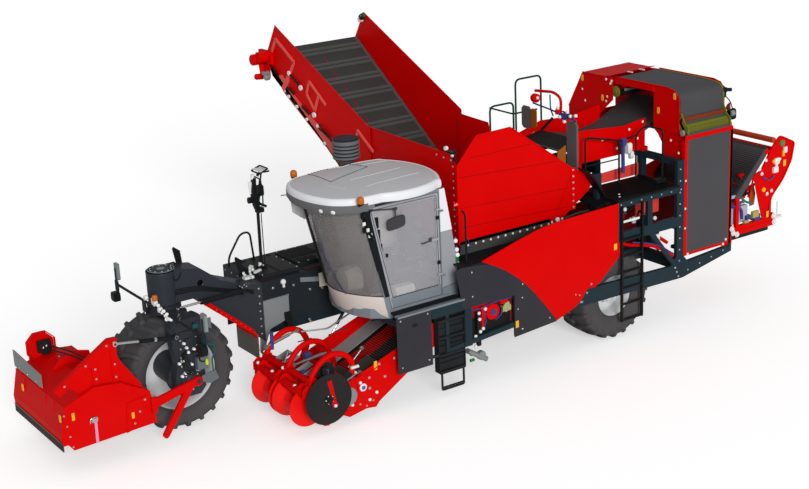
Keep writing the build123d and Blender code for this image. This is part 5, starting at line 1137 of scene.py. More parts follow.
piece("panel_bolts", [bolts_at(12, 8, faces, (0, 1, 0)),
        bolts_at(15, 12, [(-6850, 1655, 960), (-6960, 1655, 1100), (-7060, 1655, 1240)], (0, 1, 0))],
    zinc)
piece("panel_stickers", [sheet(-7590, -7660, 1740, 1850, "y", 1655.5, 1657),
        sheet(-5375, -5440, 850, 975, "y", 1650.5, 1652)], yellow)
piece("panel_slot", [slab(rounded([(-3270, 1405), (-3370, 1405), (-3370, 1455), (-3270, 1455),
        (-3270, 1405)], 20, 4)[:-1], "y", 1650.5, 1652)], black)
piece("walkway_sill", [box(-4330, -3000, 1560, 1652, 1606, 1640)], sill_blue)
piece("sill_beam", [box(-4470, -3655, 1600, 1649, 1440, 1604), box(-3775, -3655, 1600, 1649, 760, 800)],
    teal)
treads = [bar((x, 1120, 2168), (x, 1636, 2168), 12, 8) for x in range(-7580, -4480, 36)]
treads += [bar((x, 1380, 1638), (x, 1600, 1638), 10, 6)
    for x in range(-4310, -3080, 36)] + [box(-7590, -4490, 1636, 1648, 2110, 2172)]
for z in (450, 750, 1050, 1340):
    treads += [box(-4300, -3790, 1640, 1656, z - 14, z + 34)] + [bar((x, 1530, z + 33),
            (x, 1640, z + 33), 10, 7) for x in range(-4290, -3790, 40)]
treads += [box(-4306, -3784, 1526, 1534, z, z + 16) for z in (580, 880, 1190)]
treads += [tube([(-3830, 1632, 440), (-3830, 1632, 150), (-4270, 1632, 150), (-4270, 1632, 440)], 19,
        30)]
treads += [sheet(-3784, -4306, z + 40, z + 250, "y", 1606, 1612) for z in (450, 750, 1050)]
treads += [bar((-3784, 1626, z), (-4306, 1626, z), 26, 10, cut=0.3) for z in (620, 920, 1220)]
piece("walkway_ribs", treads, step_paint)
drum = [sweep_round([(0, -70), (128, -70), (138, -60), (138, 50), (128, 60), (96, 64), (0, 64)],
        (-4920, 1575, 1255), (0, 1, 0), 40), slab([(-4475, 1400), (-5365, 1440), (-5365, 1380),
        (-4475, 1330)], "y", 1514, 1530), box(-5250, -5100, 1520, 1600, 1330, 1390, 0.1),
    bar((-4560, 1560, 1180), (-4560, 1560, 960), 70, 60, cut=0.2),
    box(-4760, -4700, 1530, 1600, 1000, 1380, 0.1)]
piece("notch_drum", drum, red)
piece("notch_dark_parts", [slab([(-4480, 820), (-4480, 1160), (-5060, 1330), (-5360, 1330),
        (-5360, 860), (-4900, 790)], "y", 1513, 1518), box(-4680, -4610, 1545, 1600, 700, 1310, 0.2),
        tube([(-4700, 1580, 1330), (-4760, 1590, 1100), (-4700, 1590, 900), (-4620, 1580, 800)], 12,
        60)], black)
valve = [box(-5330, -5160, 1525, 1590, 1170, 1280, 0.2), box(-5290, -5200, 1535, 1600, 1270, 1340, 0.2)]
valve += [sweep_round([(0, 0), (26, 0), (26, 20), (16, 24), (0, 26)], (x, 1592, z), (0, 1, 0), 14)
    for x, z in ((-5210, 1200), (-5280, 1230), (-5240, 1310), (-5190, 1290))]
piece("notch_valve", valve, finish("valve_casting", (186, 190, 130), rough=0.45, metal=0.3, vary=0.2))
piece("notch_lines", [tube([(-4480, 1590, 1370), (-4700, 1600, 1360), (-4980, 1596, 1410),
        (-5350, 1590, 1400)], 11, 60), tube([(-4760, 1600, 1290), (-4790, 1606, 1120),
        (-4740, 1600, 1010)], 13, 40), tube([(-4980, 1600, 1080), (-5120, 1590, 1150),
        (-5150, 1580, 1260)], 12, 40), sweep_round([(0, -12), (58, -12), (58, 8), (0, 10)],
        (-4920, 1645, 1255), (0, 1, 0), 24)], blue)
whites = [knob(c, 18, 26, 14, 32, (0, 1, 0.1), 16) for c in ((-4640, 1606, 1290), (-4650, 1606, 1180),
        (-4720, 1606, 1000), (-4660, 1606, 960), (-4560, 1606, 900), (-4780, 1600, 1330),
        (-4560, 1596, 720))]
piece("notch_fittings", whites, white_plastic, sharp=50)
lower = [bar((-4480, 1470, 620), (-4860, 1470, 380), 90, 120, up=(0, 1, 0), cut=0.3),
    sweep_round([(0, -50), (70, -50), (80, -36), (80, 36), (70, 50), (0, 50)], (-4760, 1470, 470),
        (0, 1, 0), 24), knob((-4560, 1480, 560), 40, 44, 40, 50, (0, 1, 0), 20)]
piece("lower_bracket", lower, grey_sheet)
piece("lower_bracket_green", [box(-4560, -4480, 1520, 1560, 440, 490, 0.3)],
    finish("green_fitting", (40, 120, 60), rough=0.4))
small = [bar((-4860, 1140, 2240), (-4800, 1140, 2450), 10, 10),
    tube([(-4430, 1300, 2180), (-4440, 1300, 2330), (-4480, 1260, 2420)], 12, 30)]
piece("sill_hose", small, blue)
piece("step_bottle", [sweep_round([(0, 0), (48, 0), (52, 12), (50, 90), (30, 110), (28, 130), (0, 134)],
        (-4420, 1310, 2170), (0, 0, 1), 20), box(-4450, -4380, 1240, 1300, 2330, 2410, 0.3)],
    finish("green_bottle", (36, 110, 52), rough=0.4))
piece("step_fittings", [knob(c, 28, 34, 22, 40, (0.3, 1, 0.2), 16)
        for c in ((-4430, 1330, 2380), (-4440, 1290, 2520), (-4420, 1360, 2300))], white_plastic)

# ---------------------------------------------------------------- bunker
# Red sheet hopper with pressed folds along its walls, bolted corner posts, and a
# black rubber edge held by a strip and a row of bright bolts at its foot.
hopper = [slab([(-4660, 2340), (-4660, 3700), (-5080, 4140), (-5780, 4160), (-6630, 3560),
        (-7110, 3210), (-7530, 3010), (-7530, 2760), (-6890, 2340)], "y", 1088, 1100),
    slab([(1088, 2340), (1088, 3700), (930, 3860), (-1500, 3910), (-1500, 2340)], "x", -4672, -4660),
    slab([(1088, 2340), (1088, 3540), (-540, 3640), (-600, 3812), (-1500, 3840), (-1500, 2340)], "x",
        -6632, -6620), box(-6620, -4672, -1500, 1100, 2340, 2400)]
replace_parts(piece("hopper_walls", hopper, red), "bunker")
# The fold lines take a darker red: painted shade in their creases. The belt's centre marks share this
# darker red.
crease_shade_and_mark_red = finish("red_crease_shade_and_marks", (150, 2, 4), rough=0.4, vary=0.05)
folds = [bar((-4664, 1103, z), (-7100 + hop, 1103, z - 108), 8, 9) for z,
    hop in ((3500, 320), (2975, 30), (2640, 60))]
folds += [bar((-4900, 1103, 3790), (-6250, 1103, 3800), 7, 8),
    bar((-6700, 1103, 2345), (-7150, 1103, 3190), 7, 7)]
folds += [bar((-4655, -1480, z), (-4655, 1000, z), 8, 9) for z in (2780, 3240)]
piece("bunker_folds", folds, crease_shade_and_mark_red)
posts = [box(-4668, -4650, 1040, 1110, 2345, 3690), box(-4648, -4560, 1088, 1110, 3020, 3100),
    strip(0.022, 0.022, [(-4662, 1100, 3700), (-5080, 1100, 4140), (-5780, 1100, 4160),
        (-6630, 1100, 3560), (-7110, 1100, 3210), (-7530, 1100, 3010)], (0, 1, 0)),
    bar((-4666, 940, 3860), (-4666, -1500, 3910), 22, 22), box(-7190, -7090, 1100, 1112, 2460, 3210)]
piece("bunker_posts", posts, red)
hopper_bolts = [bolt_row(15, 13, (-7140, 1112, 2500), (-7140, 1112, 3170), 7, (0, 1, 0)),
    bolt_row(14, 12, (-4648, 1010, 2460), (-4648, 1010, 3680), 11, (1, 0, 0)),
    bolt_row(13, 11, (-4648, 560, 3800), (-4648, 960, 3780), 3, (1, 0, 0)),
    bolt_row(12, 10, (-4590, 1112, 3060), (-4630, 1112, 3060), 2, (0, 1, 0))]
piece("bunker_bolts", hopper_bolts, zinc)
piece("bunker_edge_rubber", [slab([(-4668, 2170), (-4668, 2342), (-6900, 2342), (-7450, 2300),
        (-7450, 2170)], "y", 1103, 1110), box(-6900, -4668, 1104, 1120, 2286, 2346),
        tube([(-6900, 1120, 2340), (-7150, 1180, 2400), (-7450, 1150, 2380)], 22, 90)], rubber)
edge_row = bolt_row(15, 11, (-4830, 1120, 2316), (-6560, 1120, 2316), 12, (0, 1, 0))
piece("bunker_edge_bolts", [edge_row, sweep_round([(0, 0), (42, 0), (42, 26), (30, 32), (0, 34)],
        (-6760, 1115, 2350), (0, 1, 0.2), 24), bolt_row(16, 14, (-6640, 1120, 2330),
        (-6860, 1130, 2350), 3, (0, 1, 0.2))], white_plastic)
corner = [bar((-4665, 1010, 3700), (-4690, 1010, 3960), 24, 24),
    box(-4700, -4610, 900, 1060, 3900, 3930, 0.2), tube([(-4650, 1040, 3900), (-4640, 1100, 3800),
        (-4680, 1090, 3730)], 12, 30)]
piece("corner_lamp_arm", corner, black)
piece("corner_lamp", [box(-4640, -4590, 850, 910, 3940, 4005, 0.3),
        box(-4650, -4610, 1010, 1060, 3855, 3895, 0.3)], white_plastic)

# ---------------------------------------------------------------- discharge elevator
# Two red walls with welded rose stiffeners and hose clips, a cross belt with paired
# flights between them, its drive motor at the tip and work lamps on the far wall.
coat("discharge_elevator", red)
coat("discharge_belt", finish("cross_belt", (56, 56, 54), rough=0.6, vary=0.10, grain=0.05))
belt_rise = finish("belt_flights", (74, 77, 75), rough=0.55, vary=0.10, grain=0.05)
face_x = -4621.0
stiff = [((-4540, 5110), (-3900, 4750), 62), ((-3900, 4750), (-4160, 4410), 62),
    ((-4160, 4410), (-4390, 4150), 120), ((-4540, 5110), (-4880, 4640), 60),
    ((-3390, 4460), (-2850, 4100), 56), ((-3390, 4460), (-3520, 4210), 50),
    ((-3520, 4210), (-3260, 3930), 50), ((-3250, 3930), (-3090, 4230), 60),
    ((-1810, 3810), (-1330, 3500), 56), ((-1815, 3800), (-1900, 3430), 50)]
ribs = [bar((face_x, y0, z0), (face_x, y1, z1), wide, 26, up=(1, 0, 0)) for (y0, z0), (y1, z1),
    wide in stiff]
ribs += [slab([(-4880, 4640), (-4330, 4090), (-2530, 3080), (-2560, 3330), (-4130, 4190), (-4390, 4440),
        (-4760, 4380)][::-1], "x", -4627, -4612)]
piece("elevator_stiffeners", ribs, rose, "discharge_elevator")
rim = [(-1430, 3905), (-4550, 5355), (-4945, 4760)]
trims = [strip(0.026, 0.016, [(x, y, z) for y, z in rim], (1, 0, 0)) for x in (-4632, -6646)]
trims += [bar((-6636, -4930, 4790), (-4640, -4930, 4790), 60, 60, cut=0.3)]
piece("elevator_trim", trims, red, "discharge_elevator")
drive = [sweep_round([(0, -130), (96, -130), (108, -116), (108, 96), (92, 112), (60, 118), (0, 118)],
        (-4440, -5030, 4680), (1, 0, 0), 36), sweep_round([(0, -90), (50, -90), (58, -78), (58, 66),
        (50, 78), (0, 80)], (-4440, -4980, 4350), (1, 0, 0.1), 28),
    slab([(-5080, 4700), (-4780, 4560), (-4800, 4330), (-4960, 4420)], "x", -4600, -4560),
    bar((-4500, -4990, 4640), (-4500, -4930, 4380), 90, 80, cut=0.3)]
piece("elevator_motor", drive, red, "discharge_elevator")
piece("elevator_coupling", [sweep_round([(0, -60), (44, -60), (60, -40), (60, 30), (44, 50), (0, 54)],
        (-4470, -4720, 4370), (1, 0, 0), 24), box(-4560, -4440, -4860, -4760, 4400, 4470, 0.3)],
    grey_sheet, "discharge_elevator")
clips = [(-4080, 4520, 84), (-3680, 4300, 96), (-4150, 4060, 66), (-3870, 3910, 66), (-3250, 3850, 96),
    (-3530, 3720, 60), (-3150, 3660, 66), (-2940, 3360, 66), (-4260, 4150, 40)]
piece("hose_clips", [box(-4612, -4580, y - s / 2, y + s / 2, z - s / 2, z + s / 2, 0.3) for y, z,
        s in clips], white_plastic, "discharge_elevator")
runs = [((-4040, 4495), (-3740, 4345), 46), ((-4190, 4240), (-3950, 4140), 52),
    ((-3680, 3950), (-3440, 3840), 50), ((-3110, 3620), (-2900, 3560), 30),
    ((-4720, 4560), (-4500, 4400), 50), ((-4260, 4170), (-4180, 4090), 40),
    ((-3980, 4010), (-3880, 3930), 36)]
lines = [bar((-4598, y0, z0), (-4598, y1, z1), wide, 22, up=(1, 0, 0), cut=0.3) for (y0, z0), (y1, z1),
    wide in runs]
lines += [tube([(-4590, -2900, 3560), (-4590, -2740, 3500), (-4590, -2560, 3420), (-4590, -2380, 3260)],
        14, 80), tube([(-4596, -3100, 3700), (-4590, -2900, 3600), (-4590, -2700, 3540)], 12, 60)]
piece("elevator_hoses", lines, hose, "discharge_elevator")
low, top = np.array([-1760.0, 2700.0]), np.array([-4850.0, 4843.0])
lean = unit(top - low)
square = np.array([lean[1], -lean[0]])                     # out of the belt's face
flights = []
for k in range(9):
    for hop in (0.0, 105.0):
        c = low + lean * (120 + k * 420 + hop) + square * 10
        flights.append(carry(np.array([(-0.034, -0.004), (0.034, -0.004), (0.018, 0.022),
                (-0.018, 0.022)]), at([(-6622, *c), (-4634, *c)]), (0, *square)))
flights += [bar((x, *(low + square * 4)), (x, *(top + square * 4)), 60, 14, up=(0, *square))
    for x in (-6600, -4660)]
piece("belt_flights", flights, belt_rise, "discharge_elevator")
marks = [bar((-5640, *(low + lean * s + square * 6)), (-5640, *(low + lean * (s + 150) + square * 6)),
        14, 6, up=(0, *square)) for s in range(60, 3400, 210)]
piece("belt_centre_marks", marks, crease_shade_and_mark_red, "discharge_elevator")
far = [box(-6660, -6560, -4600, -4520, 5220, 5290, 0.3),
    tube([(-6640, -4560, 5345), (-6600, -4640, 5300), (-6600, -4700, 5200)], 16, 40)]
piece("far_lamp_arm", far, black, "discharge_elevator")
piece("far_lamp", [box(-6640, -6560, -4650, -4570, 5170, 5270, 0.3)], white_plastic,
    "discharge_elevator")
piece("far_lamp_green", [box(-6650, -6580, -4560, -4480, 5270, 5350, 0.3)],
    finish("lamp_green", (40, 90, 50), rough=0.4), "discharge_elevator")

# ---------------------------------------------------------------- rear platform, ladder and rails
# Black chequered deck on the side frames with a bolted ladder, bent tube rails in
# black and green, salmon inner sheets, hydraulic lines and the grey cabinet plate.
deck_paint = finish("deck_paint", (11, 17, 19), rough=0.5, vary=0.12)
coat("rear_platform", deck_paint)
coat("front_lamps", black)
rail_shapes = [tube([(-7690, 800, 2600), (-7690, 800, 3590), (-8490, 800, 3400), (-8490, 800, 2600)],
        18, 110), tube([(-8900, 800, 2600), (-8900, 800, 3440), (-9020, 900, 3590),
        (-9080, 1300, 3590), (-9080, 1300, 2600)], 18, 90),
    tube([(-8492, 800, 3385), (-8898, 800, 3420)], 14),
    tube([(-7692, 800, 3060), (-8488, 800, 3060)], 12),
    tube([(-4500, 1500, 2160), (-4500, 1500, 3000), (-4500, 1420, 3050)], 18, 40),
    tube([(-1700, -1500, 1990), (-1710, -1500, 2150), (-1960, -1500, 2520), (-2140, -1500, 2520),
        (-2190, -1500, 1990)], 18, 90), tube([(-2000, -900, 2065), (-2010, -900, 3050),
        (-2100, -900, 3550)], 24, 60), box(-2125, -2045, -960, -840, 3300, 3480, 0.2),
    tube([(-2100, -900, 3540), (-2130, -880, 3740)], 14),
    box(-2190, -2090, -1020, -720, 3720, 3744, 0.2)]
rail_shapes += [sweep_round([(0, 0), (34, 0), (34, 10), (20, 12), (20, 30)], c, (0, 0, 1), 16)
    for c in ((-7690, 800, 2610), (-8490, 800, 2610), (-8900, 800, 2610), (-9080, 1300, 2610))]
made = piece("deck_rails", rail_shapes, black)
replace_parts(made, "guard_rails")
green_rail = finish("green_rail", (10, 58, 42), rough=0.4, vary=0.08)
piece("service_rails", [tube([(-7440, -1600, 2600), (-7440, -1600, 3800), (-8000, -1600, 3800),
        (-8000, -1600, 2600)], 19, 110), tube([(-8060, -1600, 2600), (-8060, -1600, 4220),
        (-8680, -1600, 4220), (-8680, -1600, 2600)], 19, 110),
        tube([(-7440, -1600, 3780), (-7440, -900, 3780), (-8000, -900, 3780)], 16, 80),
        tube([(-7440, -1590, 3300), (-7990, -1590, 3300)], 15),
        box(-7700, -7400, -1640, -1300, 2580, 2610), box(-7700, -7660, -1640, -1600, 2600, 2640)],
    green_rail)
ribs = [bar((x, y0, 2612), (x, y1, 2612), 10, 7) for x in range(-9130, -7690, 40) for y0,
    y1 in ((700, 1636), (-1636, -700))]
ribs += [box(-9160, -7676, 1632, 1652, 2572, 2618), box(-7690, -7672, 700, 1640, 2460, 2620),
    tube([(-7690, 1636, 2640), (-8200, 1636, 2640)], 10)]
for k in range(6):
    z = 370 + k * 300
    ribs += [box(-8225, -7775, 1655, 1689, z, z + 32, 0.2)] + [bar((x, 1656, z + 33), (x, 1688, z + 33),
            12, 7) for x in range(-8200, -7790, 45)]
piece("deck_ribs", ribs, deck_paint)
piece("ladder_plate", [sheet(-8190, -7810, 2190, 2230, "y", 1652, 1660)], white_plastic)
deck_bolts = [bolts_at(15, 12, [(-7860, 1500, 2622), (-7960, 1380, 2622)]),
    bolt_row(12, 10, (-7760, 1680, 2480), (-8240, 1680, 2480), 2, (0, 1, 0)),
    bolt_row(12, 10, (-7760, 1680, 1900), (-8240, 1680, 1900), 2, (0, 1, 0))]
piece("deck_platform_bolts", deck_bolts, white_plastic)
salmon = finish("salmon_sheets", (222, 66, 58), rough=0.42, vary=0.08)
panels = [sheet(-8530, -9100, 2040, 2460, "y", 1180, 1190),
    slab([(-7720, 2625), (-9100, 2625), (-9100, 2850), (-7720, 2790)], "y", 640, 650),
    slab([(-10400, 1480), (-11150, 1480), (-11220, 2430), (-10360, 2480)], "y", 900, 912)]
panels += [bar((-8540, 1196, z), (-9090, 1196, z + 20), 10, 8) for z in (2180, 2320)]
piece("salmon_panels", panels, salmon)
behind = [sheet(-7780, -8390, 2030, 2460, "y", 1050, 1060),
    bar((-8300, 1260, 2040), (-8300, 1260, 2460), 100, 60, cut=0.2),
    tube([(-8520, 1400, 1800), (-8800, 1420, 1700), (-9080, 1430, 1500)], 34, 140),
    tube([(-7800, 1480, 1800), (-8050, 1560, 1700), (-8350, 1600, 1660), (-8700, 1600, 1540),
        (-9060, 1600, 1290)], 30, 220)]
piece("frame_red_parts", behind, red)
piece("frame_blue_lines", [tube([(-8080, 1600, 1760), (-8350, 1640, 1705), (-8700, 1640, 1580),
        (-9050, 1640, 1340)], 12, 220), tube([(-7840, 1300, 2050), (-7900, 1310, 2250),
        (-8050, 1300, 2330), (-8200, 1300, 2200)], 14, 70),
        tube([(-7860, 1280, 2380), (-7980, 1300, 2150), (-8150, 1290, 2120)], 14, 70),
        tube([(-8580, 800, 3320), (-8590, 800, 2780)], 34),
        box(-8640, -8540, 770, 850, 3280, 3420, 0.3)], blue)
whites = [knob(c, 24, 34, 18, 40, (0.2, 1, 0.2), 16) for c in ((-7850, 1330, 2100), (-7930, 1330, 2230),
        (-8060, 1330, 2140), (-8140, 1330, 2300), (-8290, 1330, 2080), (-8180, 1330, 2400),
        (-8880, 1320, 1980))]
whites += [box(-8720, -8620, 810, 900, 3130, 3330, 0.3), box(-8780, -8700, 810, 880, 3030, 3160, 0.3),
    box(-8740, -8660, 1560, 1600, 1660, 1780, 0.3), sweep_round([(0, 0), (40, 0), (44, 70), (30, 110),
        (0, 112)], (-8310, 1380, 2030), (0, 0, 1), 20)]
piece("frame_fittings", whites, white_plastic, sharp=50)
dark = [box(-9080, -8860, 1240, 1400, 2630, 2700, 0.2),
    tube([(-8560, 1196, 2060), (-8620, 1200, 2160), (-8680, 1200, 2080)], 16, 40),
    tube([(-8760, 1200, 2050), (-8830, 1204, 2170), (-8900, 1200, 2080)], 16, 40),
    slab([(-8540, 1640), (-9060, 1300), (-9060, 1800), (-8540, 1800)], "y", 1240, 1252),
    box(-7720, -7560, 900, 1500, 2400, 2560, 0.2), tube([(-7500, 1300, 2420), (-7600, 1400, 2520),
        (-7680, 1500, 2480)], 40, 60)]
dark += [slab([(-7240, 3200), (-7420, 3060), (-7700, 2640), (-7700, 2600), (-7400, 3030),
        (-7240, 3180)], "y", 1110, 1330)]
piece("platform_front_post", [box(-7700, -7600, 1110, 1200, 2300, 2990, 0.1),
        slab([(-7440, 3030), (-7700, 3030), (-7700, 2620)], "y", 1202, 1212)], teal)
piece("frame_dark_parts", dark, black)
cabinet = [box(-7390, -7350, 700, 960, 2990, 3940, 0.2), box(-7270, -7250, -420, -160, 3650, 4060, 0.2)]
piece("cabinet_plate", cabinet, finish("cabinet_grey", (92, 90, 92), rough=0.45, vary=0.08))
piece("cabinet_brown", [slab([(-7180, 3000), (-7180, 3560), (-7000, 3480), (-6980, 3080)], "y", 860,
        872), box(-7264, -7244, -150, 0, 3700, 4040, 0.2)],
    finish("brown_plate", (150, 84, 24), rough=0.5, vary=0.15))
pipes = [tube([(-7400, -200, 4330), (-7400, 300, 4380), (-7400, 500, 4300), (-7380, 520, 4100)], 26,
        90), sweep_round([(0, -60), (70, -60), (80, -40), (80, 40), (60, 60), (0, 62)],
        (-7300, -80, 4230), (0, 1, 0), 24), sweep_round([(0, -40), (60, -40), (66, 0), (60, 40),
        (0, 42)], (-7360, 480, 4060), (0, 0, 1), 20)]
piece("bridge_red_pipes", pipes, red)
piece("bridge_blue_lines", [tube([(-7300, -150, 4130), (-7320, 300, 4080), (-7330, 700, 4020),
        (-7320, 1000, 3980)], 15, 120), tube([(-7360, 250, 4330), (-7360, 260, 4080),
        (-7360, 330, 3960)], 13, 60), tube([(-7320, 640, 4100), (-7330, 860, 4060),
        (-7320, 950, 3960)], 14, 60), box(-7380, -7300, 560, 740, 3960, 4060, 0.3)], blue)
piece("bridge_fittings", [knob(c, 24, 26, 20, 32, (0, 1, 0.2), 16)
        for c in ((-7300, -30, 4240), (-7340, 480, 4130), (-7300, 780, 4110), (-7300, 860, 4050),
        (-7300, 700, 3930), (-7280, 600, 4000), (-7300, 1000, 4080))], white_plastic)

# ---------------------------------------------------------------- hood and transfer conveyor
# Folded red hood over the belt that feeds the bunker, trough walls with rubber end
# flap, round markers, olive end disc and a silver roller shaft under the beam.
sheets = [slab([(-1490, 3060), (-1490, 3550), (-1075, 4262), (-240, 4262), (-240, 3850), (-600, 3540),
        (-850, 3240), (-900, 3060)], "x", -9302, -9290),
    slab([(-1490, 3060), (-1490, 3550), (-1180, 4225), (-300, 4250), (1150, 4250), (1150, 4200),
        (900, 3060)], "x", -10502, -10490), skin(at([[(x, -1490, 3550), (x, y, 4262),
        (x, y + 560, 4262), (x, y + 720, 4292), (x, y + 720, 4280), (x, y + 564, 4250),
        (x, y + 8, 4250), (x, -1480, 3550)] for x, y in ((-9290, -1075), (-10502, -1120))])),
    box(-9312, -9286, -1490, -1440, 3060, 3550), box(-10502, -9290, -1500, -1488, 3060, 3345),
    slab(rounded([(-9290, 3070), (-9290, 3640), (-8750, 3575), (-7820, 3655), (-7590, 3650),
        (-7500, 3570), (-7560, 3380), (-7700, 3070), (-9290, 3070)], 40)[:-1], "y", 610, 622),
    slab(rounded([(-9290, 3070), (-9290, 3690), (-8550, 3585), (-7860, 3625), (-7310, 3475),
        (-7430, 3330), (-7700, 3070), (-9290, 3070)], 40)[:-1], "y", -622, -610)]
sheets += [box(x0, x1, y0, y1, z0, z1) for x0, x1, z0,
    z1 in ((-9300, -9160, 3055, 3130), (-7700, -7640, 2605, 3120)) for y0,
    y1 in ((560, 690), (-690, -560))]
sheets += [rod((x, -610, z), (x, 610, z), 0.045, 20, (0, 0, 1)) for x,
    z in ((-9150, 3250), (-8400, 3180), (-7700, 3280))]
hood = piece("hood_and_trough", sheets, red, sharp=40)
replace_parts(hood, "transfer_conveyor")
belt_grey = finish("smooth_belt", (72, 71, 74), rough=0.5, vary=0.06, dirt=0.04, grain=0.03)
belts = [slab([(-4530, 1135), (-6560, 1370), (-6580, 1330), (-6500, 1240), (-5400, 840), (-4500, 1010)],
        "y", 74, 1498), slab([(-6760, 1495), (-10200, 1900), (-10240, 1850), (-9200, 1450),
        (-8000, 1350), (-6780, 1400)], "y", -543, 543), slab([(1640, 1290), (1640, 3480), (1440, 3760),
        (1430, 4020), (1350, 4150), (1180, 4225), (950, 4240), (-200, 4240), (-200, 4190), (940, 4190),
        (1165, 4178), (1320, 4110), (1395, 4005), (1395, 3745), (1580, 3460), (1580, 1350),
        (1250, 1350), (1250, 1290)], "x", -10428, -9352),
    slab([(-10650, 2080), (-11400, 2850), (-11480, 2860), (-11500, 2790), (-10740, 1980),
        (-10660, 1990)], "y", -546, 1608), slab(rounded([(-10150, 3800), (-9670, 3605), (-9120, 3375),
        (-8570, 3285), (-8060, 3390), (-7830, 3462), (-7830, 3420), (-8060, 3340), (-8570, 3235),
        (-9120, 3320), (-10150, 3740), (-10150, 3800)], 60)[:-1], "y", -598, 598)]
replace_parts(piece("conveyor_bands", belts, belt_grey, sharp=50), "conveyor_belts")
olive = finish("olive_paint", (112, 113, 36), rough=0.42, vary=0.10)
folds = [strip(0.024, 0.018, [(-9284, -1485, 3550), (-9284, -1072, 4262), (-9284, -300, 4262)],
        (1, 0, 0)), strip(0.024, 0.018, [(-9290, 622, 3640), (-8750, 622, 3575), (-7820, 622, 3655),
        (-7590, 622, 3650)], (0, 1, 0)), strip(0.024, 0.018,
        [(-9290, -622, 3690), (-8550, -622, 3585), (-7860, -622, 3625), (-7310, -622, 3475)],
        (0, 1, 0)), bar((-9280, 625, 3085), (-7700, 625, 3085), 20, 16),
    bar((-9280, 625, 3540), (-7620, 625, 3560), 8, 8)]
piece("hood_folds", folds, red)
marks = [(-9284, -1090, 3930), (-9284, -1010, 3720), (-9284, -390, 3890), (-9284, -420, 3800)]
piece("hood_white_marks", [bolts_at(18, 10, marks, (1, 0, 0)),
        bolts_at(20, 14, [(-9284, -270, 4200), (-9284, -300, 4150), (-9284, -420, 4215)], (1, 0, 0)),
        box(-9800, -9770, -380, -240, 4285, 4300, 0.2), box(-10100, -10070, -380, -240, 4288, 4304,
        0.2), bolts_at(18, 14, [(-9100, 625, 3300), (-8250, 625, 3420), (-8600, 625, 3200),
        (-8900, 625, 3500)], (0, 1, 0)), bolts_at(16, 12, [(-7640, 625, 3600), (-9230, 625, 3590)],
        (0, 1, 0))], white_plastic)
oval = rounded([(0, -60), (28, -60), (28, 60), (-28, 60), (-28, -60), (0, -60)], 30, 4)[:-1]
ovals = [slab([(y + a, z + b) for a, b in oval], "x", -9286, -9276) for y,
    z in ((-1090, 4150), (-520, 3850))]
ovals += [slab([(y + a, z + b) for a, b in oval], "x", -9336, -9326) for y,
    z in ((1330, 4150), (920, 3830))]
piece("hood_yellow_marks", ovals, yellow)
ends = [sweep_round([(0, 0), (96, 0), (104, 10), (104, 30), (90, 38), (50, 40), (44, 52), (0, 54)],
        (-9330, -180, 4010), (1, 0, 0), 36)]
piece("top_roller_disc", ends, olive)
piece("top_roller", [rod((-9340, -60, 4010), (-10380, -60, 4010), 0.062, 24, (0, 0, 1))], black)
piece("top_roller_shaft", [rod((-9320, 60, 4080), (-10400, 60, 4080), 0.026, 16, (0, 0, 1))], steel)
piece("trough_apron", [slab([(-7830, 3470), (-7300, 3376), (-7290, 3362), (-7830, 3452)], "y", -592,
        592), bar((-7860, -600, 3460), (-8130, -600, 3640), 60, 16, up=(0, 1, 0))],
    finish("apron_black", (24, 24, 25), rough=0.6, vary=0.15, grain=0.05))
piece("trough_lip", [bar((-7420, -604, 3345), (-7700, -604, 3440), 10, 34),
        bar((-7320, 560, 3376), (-7320, -590, 3376), 8, 8)], grey_sheet)

# ---------------------------------------------------------------- vertical elevator
# Smooth grey belt over a round shoulder, an olive roller and brown wiper below it,
# then a flat grey panel held in a thin red frame by white bolts.
plate = [(1650, 1240), (1650, 3470), (1430, 3560), (1430, 4130), (1330, 4240), (1150, 4282),
    (-250, 4282), (-250, 4150), (790, 4150), (790, 3480), (900, 3400), (1050, 3200), (1050, 2960),
    (1570, 2960), (1570, 1240)]
sheets = [slab(plate, "x", -9350, -9340), slab(plate, "x", -10490, -10480),
    box(-10490, -9290, 1630, 1650, 1240, 1290), box(-10490, -9290, 1600, 1650, 3400, 3470),
    box(-9350, -9290, 1600, 1650, 1240, 3470), box(-10490, -10430, 1600, 1650, 1240, 3470),
    box(-9350, -9290, 1560, 1600, 3060, 3400), box(-9300, -9270, 690, 1640, 2960, 3050)]
sheets += [rod((-9345, y, z), (-10485, y, z), 0.06, 20, (0, 0, 1)) for y,
    z in ((1400, 1420), (0, 4170))]
tower = piece("elevator_sheets", sheets, red, sharp=40)
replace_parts(tower, "ring_elevator")
shoulder = np.vstack([[(-240, 4262)], rounded([(-240, 4262), (1100, 4262), (1452, 4200), (1456, 3900),
        (1456, 3760)], 330, 12)[1:]])
inner = np.vstack([[(1436, 3760)], rounded([(1436, 3760), (1436, 3900), (1432, 4182), (1100, 4242),
        (-240, 4242)], 320, 12)[1:]])
piece("shoulder_belt", [slab(np.vstack([shoulder, inner]), "x", -10425, -9352)], belt_grey)
piece("frame_panel", [slab([(-9356, 1296), (-10428, 1262), (-10428, 3392), (-9356, 3398)], "y", 1641,
        1647)], belt_grey)
frame_bits = [box(-9356, -9284, 1600, 1652, 1240, 3480, 0.2),
    box(-10496, -9284, 1600, 1653, 3398, 3474, 0.2), box(-10440, -10422, 1600, 1652, 1250, 3400, 0.2),
    bar((-9350, 1648, 3400), (-9400, 1648, 3300), 14, 8),
    box(-9340, -9320, -240, 790, 4160, 4262, 0.1), slab([(-9344, 3990), (-9344, 3520)]
        + [(-9390, 3520), (-9390, 3990)], "y", 1432, 1440)]
